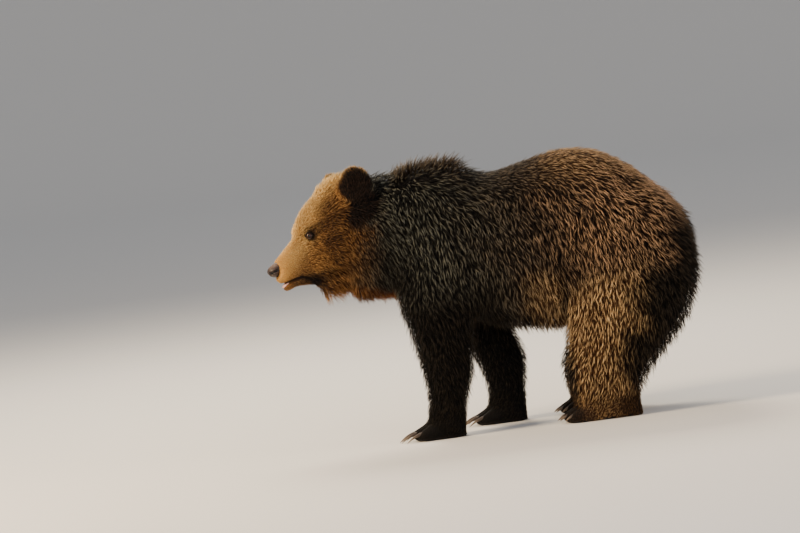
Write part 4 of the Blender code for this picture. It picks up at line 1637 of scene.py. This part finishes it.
    def hairs(self, locks: Roots, each: int, short: bool) -> "Hairs":
        """Shapes the hairs of each lock.

        A lock's hairs start in a disc round its root. Each climbs at the lift angle and lies over along the
        flow, and its tip is drawn towards the lock's own tip.

        Args:
            locks: the locks' roots.
            each: how many hairs a lock has.
            short: whether the hairs are straight pyramids.

        Returns:
            The hairs, lock by lock.
        """
        draw, count = self.draw, len(locks.points)
        total = count * each
        flow = self.growth.flow(locks.points, locks.normals)
        across = np.cross(locks.normals, flow)
        mask = self.anatomy.masks(locks.points)
        length = self.growth.length(locks.points) * draw.uniform(0.72, 1.18, count)
        lift = self.growth.lift(locks.points) * draw.uniform(0.75, 1.25, count)
        tone = self.lock_tone(locks.points, mask)
        length, lift = length * (0.86 + 0.22 * tone), lift * (0.90 + 0.22 * tone)
        wild = draw.normal(0, 0.10, (count, 1)) * across
        droop = self.droop(mask)

        def rise(angle: Array, extra: float) -> Array:
            """The hair's direction at an angle over the skin, with part of the droop."""
            run = (flow + wild) * np.cos(angle)[:, None] + locks.normals * np.sin(angle)[:, None]
            return unit(run + droop * extra)

        def spread(rows: Array) -> Array:
            """Repeats each lock's row for its hairs."""
            return np.repeat(rows, each, axis=0)

        lock_middle = locks.points + rise(lift * 1.25, 0.3) * length[:, None] * 0.5
        lock_tip = lock_middle + rise(lift * 0.70, 1.0) * length[:, None] * 0.5
        turn, reach = draw.uniform(0, 2 * math.pi, total), np.sqrt(draw.uniform(0, 1, total))
        disc = spread(self.growth.spacing(locks.points) * np.where(tone > 0.5, 0.32, 0.85)) * reach
        shift = spread(across) * (disc * np.cos(turn))[:, None]
        shift = shift + spread(flow) * (disc * np.sin(turn))[:, None]
        scale = draw.uniform(0.70, 1.08, total)[:, None]
        root = spread(locks.points) + shift - spread(locks.normals) * 1.5 * MM
        sway = draw.normal(0, 0.028, (total, 3)) * spread(length)[:, None]
        bow = spread(across * (length * draw.normal(0, 0.06, count))[:, None])
        tight = spread((0.20 + 0.48 * (tone > 0.5)) * (1 - 0.55 * mask["face"]))[:, None]
        middle = root + spread(lock_middle - locks.points) * scale
        middle += (spread(lock_middle) - middle) * tight + sway * 0.3 + bow
        tip = root + spread(lock_tip - locks.points) * scale
        tip += (spread(lock_tip) - tip) * (tight * 0.35 + 0.62) + sway - bow * 0.6
        middle[:, 2], tip[:, 2] = np.maximum(middle[:, 2], 1.5 * MM), np.maximum(tip[:, 2], 0.8 * MM)
        width = spread(self.growth.width(locks.points)) * draw.uniform(0.75, 1.25, total)
        dull = draw.uniform(0, 1, total) < 0.25
        hair_tone = np.clip(np.where(dull, 0.30, 1.0) * spread(tone) + draw.normal(0, 0.06, total), 0, 1)
        return Hairs(root, middle, tip, spread(locks.normals), width, hair_tone, spread(locks.uvs), short)

    def dress(self, piece: bpy.types.Object) -> bpy.types.Object:
        """Paints the markings on a coat piece, by its hairs' roots, and gives it the hair material.

        Args:
            piece: the coat piece, whose points carry the number of their hair.

        Returns:
            The same piece, without those numbers.
        """
        points, _ = read_points(piece.data)
        number = np.empty(len(points), np.float32)
        piece.data.attributes["hair"].data.foreach_get("value", number)
        number = number.astype(int)
        start = np.unique(number, return_index=True)[1]
        for name, values in self.colours.weights(self.anatomy, points[start]).items():
            attribute(piece, name, np.clip(values, 0, 1)[number])
        piece.data.attributes.remove(piece.data.attributes["hair"])
        piece.data.materials.append(self.material)
        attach(piece, "root")
        return piece


@dataclass
class Hairs:
    """Many hairs as arrays, and the mesh that they make."""

    flatness: ClassVar[float] = 0.45        # a hair's thickness as a share of its width
    girth: ClassVar[float] = 0.58           # a ring's radius as a share of the hair's width
    thickest: ClassVar[float] = 0.45        # where a bent hair is widest, as a share of its length
    root: Array
    middle: Array
    tip: Array
    normal: Array
    width: Array
    tone: Array
    uvs: Array
    short: bool

    @property
    def faces_per_hair(self) -> int:
        """Triangles on one hair: a pyramid has four, and a spindle six."""
        return 4 if self.short else 6

    def part(self, rows: slice) -> "Hairs":
        """Some of the hairs."""
        return Hairs(self.root[rows], self.middle[rows], self.tip[rows], self.normal[rows], self.width[rows],
                     self.tone[rows], self.uvs[rows], self.short)

    def ring(self, middle: Array, along: Array) -> Array:
        """Three points round each hair, as a flattened triangle.

        Args:
            middle: the ring's middle points.
            along: the hairs' directions there.

        Returns:
            Points by hair and by corner.
        """
        side = unit(np.cross(along, self.normal))
        over = np.cross(side, along)
        angles = np.radians([90.0, 210.0, 330.0])[None, :, None]
        circle = side[:, None] * np.cos(angles) + over[:, None] * np.sin(angles) * self.flatness
        return middle[:, None] + circle * (self.width * self.girth)[:, None, None]

    def piece(self, name: str, patch: float) -> bpy.types.Object:
        """The hairs' mesh with its attributes and its OFBake map.

        Args:
            name: the piece's name.
            patch: the size of a hair's place on the unwrap.

        Returns:
            The object.
        """
        count = len(self.root)
        along = unit(self.tip - self.root)
        if self.short:
            points = np.concatenate([self.ring(self.root, along), self.tip[:, None]], axis=1)
            faces = [(i, (i + 1) % 3, 3) for i in range(3)] + [(2, 1, 0)]
            shares = [0.0] * 3 + [1.0]
            places = [(-0.5, -0.5), (0.0, -0.5), (0.5, -0.5), (0.0, 0.5)]
        else:
            ring = self.ring(self.middle, along)
            points = np.concatenate([self.root[:, None], ring, self.tip[:, None]], axis=1)
            sides = [(1 + i, 1 + (i + 1) % 3) for i in range(3)]
            faces = [(*side, 4) for side in sides] + [(*reversed(side), 0) for side in sides]
            shares = [0.0] + [self.thickest] * 3 + [1.0]
            places = [(0.0, -0.5), (-0.4, 0.0), (0.0, 0.0), (0.4, 0.0), (0.0, 0.5)]
        size = points.shape[1]
        rows = np.array(faces)[None] + (np.arange(count) * size)[:, None, None]
        made = mesh_piece(name, points.reshape(-1, 3), rows.reshape(-1, 3))
        attribute(made, "along", np.tile(shares, count))
        attribute(made, "tone", np.repeat(self.tone, size))
        attribute(made, "hair", np.repeat(np.arange(count), size))
        spots = self.uvs[:, None] + np.array(places)[None] * patch
        layer = made.data.uv_layers.new(name="OFBake")
        layer.data.foreach_set("uv", spots.reshape(-1, 2)[rows.reshape(-1)].astype(np.float32).ravel())
        return made


# ---------------------------------------------------------------- eyes, nose, tongue, claws
@dataclass
class Eye:
    """An eyeball and the bare lids round it."""

    anatomy: Anatomy
    side: Side
    finish: BareColours
    skin_tree: BVHTree
    half_width: float = 10.6 * MM           # of the lids' opening
    half_height: float = 8.0 * MM
    tilt: float = math.radians(-12)         # of the opening, about the eye's gaze
    rings: int = 14
    around: int = 64

    def build(self) -> list[bpy.types.Object]:
        """Builds the ball and the lids.

        Returns:
            The pieces.
        """
        return [self.ball(), self.lids()]

    def ball(self) -> bpy.types.Object:
        """The eyeball: a sphere by polar angle from the pupil and turn about the gaze, with a raised cornea.

        A crescent of painted light lies low down at the iris's edge.

        Returns:
            The ball's piece.
        """
        axes, radius = self.anatomy.eye(self.side), self.anatomy.eye_radius
        rows, columns = 33, 48
        polar, turn = polar_grid(rows, columns)
        bulge = radius * (1 + 0.05 * bell(polar, 0.55))
        local = rows_of(bulge * np.cos(polar), bulge * np.sin(polar) * np.cos(turn),
                        bulge * np.sin(polar) * np.sin(turn)).reshape(-1, 3)
        piece = mesh_piece(f"eyeball_{self.side.word}", axes.world(local), grid_faces(rows, columns, True))
        attribute(piece, "off_axis", polar.ravel() / 1.2)
        attribute(piece, "turn", np.cos(turn.ravel() * 3))
        # a crescent of painted light low at the iris's edge, weaker at the very bottom
        lit_crescent = bell(polar - 0.95, 0.14) * smooth(-0.10, -0.50, np.sin(turn))
        attribute(piece, "lit_crescent", (lit_crescent * (1 - 0.7 * bell(np.cos(turn), 0.25))).ravel())
        faces_outward(piece)
        piece.data.materials.append(self.finish.eye())
        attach(piece, "root")
        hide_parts(f"eye_{self.side.word}")
        return piece

    def lids(self) -> bpy.types.Object:
        """The lids: rings from an almond opening on the ball, over a rounded lip, out and down into the skin.

        A ring's outline is an ellipse whose ends are drawn out to corners, and its height over the eye's
        middle falls from the ball's surface to the skin, found as the nearest point on it.

        Returns:
            The lids' piece.
        """
        axes, radius = self.anatomy.eye(self.side), self.anatomy.eye_radius
        turn = np.linspace(0, 2 * math.pi, self.around, endpoint=False)
        corner = np.abs(np.cos(turn)) ** 6
        wide = self.half_width * np.cos(turn) * (1 + 0.10 * corner)
        tall = self.half_height * np.sin(turn) * (0.92 + 0.08 * np.sign(np.sin(turn)))
        outline = rows_of(wide * math.cos(self.tilt) - tall * math.sin(self.tilt),
                          wide * math.sin(self.tilt) + tall * math.cos(self.tilt))
        share = np.linspace(0, 1, self.rings)[:, None]
        grown = outline[None] * (0.92 + 0.38 * share[:, :, None])
        flat = np.linalg.norm(grown, axis=2)
        sphere = np.sqrt(np.maximum((radius * 1.04) ** 2 - np.minimum(flat, radius * 0.98) ** 2, 0))
        lip = 1.9 * MM * bell(share - 0.20, 0.16)
        local = rows_of(sphere + lip, grown[:, :, 0], grown[:, :, 1])
        world = axes.world(local.reshape(-1, 3)).reshape(self.rings, self.around, 3)
        ground = np.array([self.skin_tree.find_nearest(Vector(p))[0] for p in world[-1]])
        sunk = ground - axes.along * 0.9 * MM
        weight = smooth(0.30, 1.0, share)[:, :, None]
        world = world * (1 - weight) + sunk[None] * weight
        faces = grid_faces(self.rings, self.around, True)
        piece = mesh_piece(f"eyelids_{self.side.word}", world.reshape(-1, 3), faces)
        solid = piece.modifiers.new("thickness", "SOLIDIFY")
        solid.thickness, solid.offset = 0.7 * MM, -1
        piece.data.materials.append(self.finish.lid())
        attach(piece, "root")
        return piece


@dataclass
class Nose:
    """The bare nose pad with its nostrils."""

    anatomy: Anatomy
    finish: BareColours
    middle: tuple[float, float, float] = NOSE_MIDDLE
    radii: tuple[float, float, float] = NOSE_RADII

    def build(self) -> bpy.types.Object:
        """The pad: a superellipsoid by polar angle and turn, narrowed below, with pits, slits and a groove.

        Each nostril is a round pit with a raised rim, and a slit runs from it back along the pad's side.

        Returns:
            The nose's piece.
        """
        rows, columns = 90, 140
        polar, turn = polar_grid(rows, columns)

        def squared(value: Array, power: float) -> Array:
            """A sine or cosine drawn towards a square."""
            return np.sign(value) * np.abs(value) ** power

        u = squared(np.cos(polar), 0.8)
        v = squared(np.sin(polar), 0.85) * squared(np.cos(turn), 0.85)
        w = squared(np.sin(polar), 0.85) * squared(np.sin(turn), 0.85)
        v = v * (1 - 0.34 * smooth(0.1, -1.0, w)) * (1 - 0.22 * smooth(0.25, 1.0, w))
        place = rows_of(u * self.radii[0], v * self.radii[1], w * self.radii[2]).reshape(-1, 3)
        x, y, z = place.T
        front = smooth(-0.004, 0.012, x)
        nostril_shade = np.zeros(len(place))
        for left in (1, -1):
            across, rise = y * left - 0.0125, z - 0.0025
            pit = np.exp(-((across / 0.0060) ** 2 + (rise / 0.0066) ** 2) ** 1.5)
            slit = bell(rise - 0.0010 - 0.25 * (x - 0.016), 0.0034) * smooth(-0.012, 0.004, x)
            slit = slit * (y * left > 0.012)
            # painted shade in the nostrils' pits and slits
            nostril_shade = np.maximum(nostril_shade, np.maximum(smooth(0.12, 0.5, pit) * front, smooth(0.35, 0.8, slit)))
            rim = bell(np.hypot(across / 0.0098, rise / 0.0098) - 1, 0.26)
            place[:, 0] += (-0.0165 * pit + 0.0016 * rim) * front
            place[:, 1] -= left * 0.0065 * slit
        place[:, 0] -= 0.0022 * bell(y, 0.0016) * smooth(0.004, -0.004, z) * front
        place[:, 2] -= 0.0022 * bell(y, 0.006) * smooth(0.010, 0.018, z)
        place[:, 0] += NOSE_LEAN * z * front
        place[:, 2] -= NOSE_TILT * x
        world = self.anatomy.head.world(place + np.array(self.middle))
        piece = mesh_piece("nose_pad", world, grid_faces(rows, columns, True))
        attribute(piece, "nostril_shade", nostril_shade)
        # painted highlight on the pad's top, kept off the nostrils
        attribute(piece, "painted_top_sheen", smooth(0.006, 0.019, z) * (1 - nostril_shade))
        faces_outward(piece)
        piece.data.materials.append(self.finish.nose())
        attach(piece, "root")
        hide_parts("nose")
        return piece


@dataclass
class Mouth:
    """What shows between the parted lips: the tongue's tip."""

    anatomy: Anatomy
    finish: BareColours
    middle: tuple[float, float, float] = (0.1165, 0.0, -0.1130)
    radii: tuple[float, float, float] = (0.0235, 0.0190, 0.0060)
    slope: float = 0.42             # how far it sinks for each metre forward

    def build(self) -> bpy.types.Object:
        """The tongue: a flat ellipsoid by polar angle and turn, with a groove along its middle.

        Returns:
            The tongue's piece.
        """
        rows, columns = 40, 48
        polar, turn = polar_grid(rows, columns)
        front, aside, up = self.radii
        place = rows_of(front * np.cos(polar), aside * np.sin(polar) * np.cos(turn),
                        up * np.sin(polar) * np.sin(turn)).reshape(-1, 3)
        place[:, 2] -= 0.0012 * bell(place[:, 1], 0.003) * (place[:, 2] > 0)
        place[:, 2] -= self.slope * place[:, 0]
        world = self.anatomy.head.world(place + np.array(self.middle))
        piece = mesh_piece("tongue_tip", world, grid_faces(rows, columns, True))
        faces_outward(piece)
        piece.data.materials.append(self.finish.tongue())
        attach(piece, "root")
        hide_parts("tongue")
        return piece


@dataclass
class Claws:
    """The five claws of one paw."""

    paw: Paw
    finish: bpy.types.Material
    bend: float = math.radians(45)
    root_radius: float = 6.4 * MM
    root_forward: float = 0.004     # how far in front of a toe's middle a claw starts
    root_rise: float = 0.007        # how far over it

    def build(self) -> bpy.types.Object:
        """Each claw carries a narrow oval along a circular arc that turns down, and tapers to a point.

        Returns:
            The claws' piece.
        """
        rows, columns = 22, 16
        share = np.linspace(0, 1, rows)[:, None]
        turn = np.linspace(0, 2 * math.pi, columns, endpoint=False)[None]
        angle = share * self.bend
        reach = self.paw.claw / self.bend
        taper = self.root_radius * (1 - share**1.4) ** 0.9 + 0.0002
        oval = taper * np.sin(turn) * 1.05
        x = -self.root_forward - reach * np.sin(angle) - oval * np.sin(angle)
        z = self.root_rise - reach * (1 - np.cos(angle)) + oval * np.cos(angle)
        local = rows_of(x, taper * 0.72 * np.cos(turn), z).reshape(-1, 3)
        points = (self.paw.tips[:, None] + local[None]).reshape(-1, 3)
        one = grid_faces(rows, columns, True)
        faces = np.concatenate([one + number * rows * columns for number in range(self.paw.count)])
        piece = mesh_piece(f"claws_{self.paw.name}", points, faces)
        attribute(piece, "along", np.tile(np.repeat(share.ravel(), columns), self.paw.count))
        faces_outward(piece)
        piece.data.materials.append(self.finish)
        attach(piece, "root")
        return piece


# ---------------------------------------------------------------- studio
@dataclass
class Studio:
    """Floor, backdrop, lights and camera."""

    finish: StudioFinish
    roll: float = math.radians(7)
    elevation: float = math.radians(4)
    frame_width: float = 2.64
    distance: float = 14.0
    origin_in_frame: tuple[float, float] = (0.3394, -0.5272)    # where the world's origin is, from the middle
    aim: tuple[float, float, float] = (0.0, 0.0, 0.55)          # of every lamp

    def build(self) -> None:
        """Sets up the whole studio."""
        self.paper()
        self.lights()
        self.camera()

    def paper(self) -> None:
        """The bowl: a flat round floor whose rim turns up in a quarter circle, so that no edge shows."""
        flat, bend, columns = 17.0, 8.0, 96
        angle = np.linspace(0, math.pi / 2, 24)
        reach = np.concatenate([[0.01, 4.0, 9.0], flat + bend * np.sin(angle)])[:, None]
        climb = np.concatenate([[0.0, 0.0, 0.0], bend - bend * np.cos(angle)])[:, None]
        turn = np.linspace(0, 2 * math.pi, columns, endpoint=False)
        points = rows_of(reach * np.cos(turn), reach * np.sin(turn), climb).reshape(-1, 3)
        piece = mesh_piece("paper_bowl", points, grid_faces(len(reach), columns, True))
        with opened(piece.data) as work:
            bmesh.ops.contextual_create(work, geom=[work.verts[i] for i in range(columns)])
        piece.data.materials.append(self.finish.material())

    def lights(self) -> None:
        """A warm sun-like key from the head's side, cool sky fill, and a rim light from behind."""
        for name, place, size, power, tint in (
            ("key", (-4.4, -1.7, 3.4), 1.5, 480.0, "#ffe2b8"),
            ("fill", (1.5, -6.5, 2.6), 4.5, 170.0, "#f2f3ff"),
            ("rim", (-0.8, 3.6, 4.4), 2.2, 300.0, "#fff0d8"),
            ("low", (4.2, -1.6, 2.2), 2.0, 55.0, "#ffe6c4"),
        ):
            data = bpy.data.lights.new(name, "AREA")
            data.size, data.energy, data.color = size, power, linear(tint)[:3]
            lamp = bpy.data.objects.new(name, data)
            lamp.location = place
            towards = Vector(self.aim) - Vector(place)
            lamp.rotation_euler = towards.to_track_quat("-Z", "Y").to_euler()
            bpy.context.scene.collection.objects.link(lamp)
        world = bpy.data.worlds.new("studio")
        world.use_nodes = True
        sky = world.node_tree.nodes["Background"]
        sky.inputs["Color"].default_value = linear("#e8ecf4")
        sky.inputs["Strength"].default_value = 0.50
        bpy.context.scene.world = world

    def camera(self) -> None:
        """A long lens, level with the bear's legs and rolled, so that the floor climbs to the right."""
        look = Vector((0, math.cos(self.elevation), -math.sin(self.elevation)))
        rise = Vector((0, math.sin(self.elevation), math.cos(self.elevation)))
        level = Vector((1, 0, 0))
        right = math.cos(self.roll) * level - math.sin(self.roll) * rise
        up = math.sin(self.roll) * level + math.cos(self.roll) * rise
        data = bpy.data.cameras.new("camera")
        data.sensor_width, data.clip_end = 36.0, 200.0
        data.lens = data.sensor_width * self.distance / self.frame_width
        eye = bpy.data.objects.new("camera", data)
        place = -(self.origin_in_frame[0] * right + self.origin_in_frame[1] * up) - look * self.distance
        eye.matrix_world = Matrix(((right.x, up.x, -look.x, place.x), (right.y, up.y, -look.y, place.y),
                                   (right.z, up.z, -look.z, place.z), (0, 0, 0, 1)))
        bpy.context.scene.collection.objects.link(eye)
        bpy.context.scene.camera = eye


def main() -> None:
    """Builds the bear and the studio in order."""
    logging.basicConfig(level=logging.INFO, format="%(name)s: %(message)s")
    anatomy, colours, bare = Anatomy(), CoatColours(), BareColours()
    growth = CoatGrowth(anatomy)
    skin = Skin(anatomy, growth, colours).build()
    log.info("skin: %d faces", len(skin.data.polygons))
    faces = [tuple(face.vertices) for face in skin.data.polygons]
    tree = BVHTree.FromPolygons([vertex.co for vertex in skin.data.vertices], faces)
    for side in Side:
        for piece in Eye(anatomy, side, bare, tree).build():
            log.info("%s: %d faces", piece.name, len(piece.data.polygons))
    for piece in (Nose(anatomy, bare).build(), Mouth(anatomy, bare).build()):
        log.info("%s: %d faces", piece.name, len(piece.data.polygons))
    horn = bare.claw()
    for paw in PAWS:
        log.info("%s: %d claws", Claws(paw, horn).build().name, paw.count)
    total = 0
    for piece in Coat(anatomy, growth, colours, skin).build():
        total += len(piece.data.polygons)
        log.info("%s: %d faces", piece.name, len(piece.data.polygons))
    log.info("coat: %d faces in all", total)
    Studio(StudioFinish()).build()


if __name__ == "__main__":
    main()
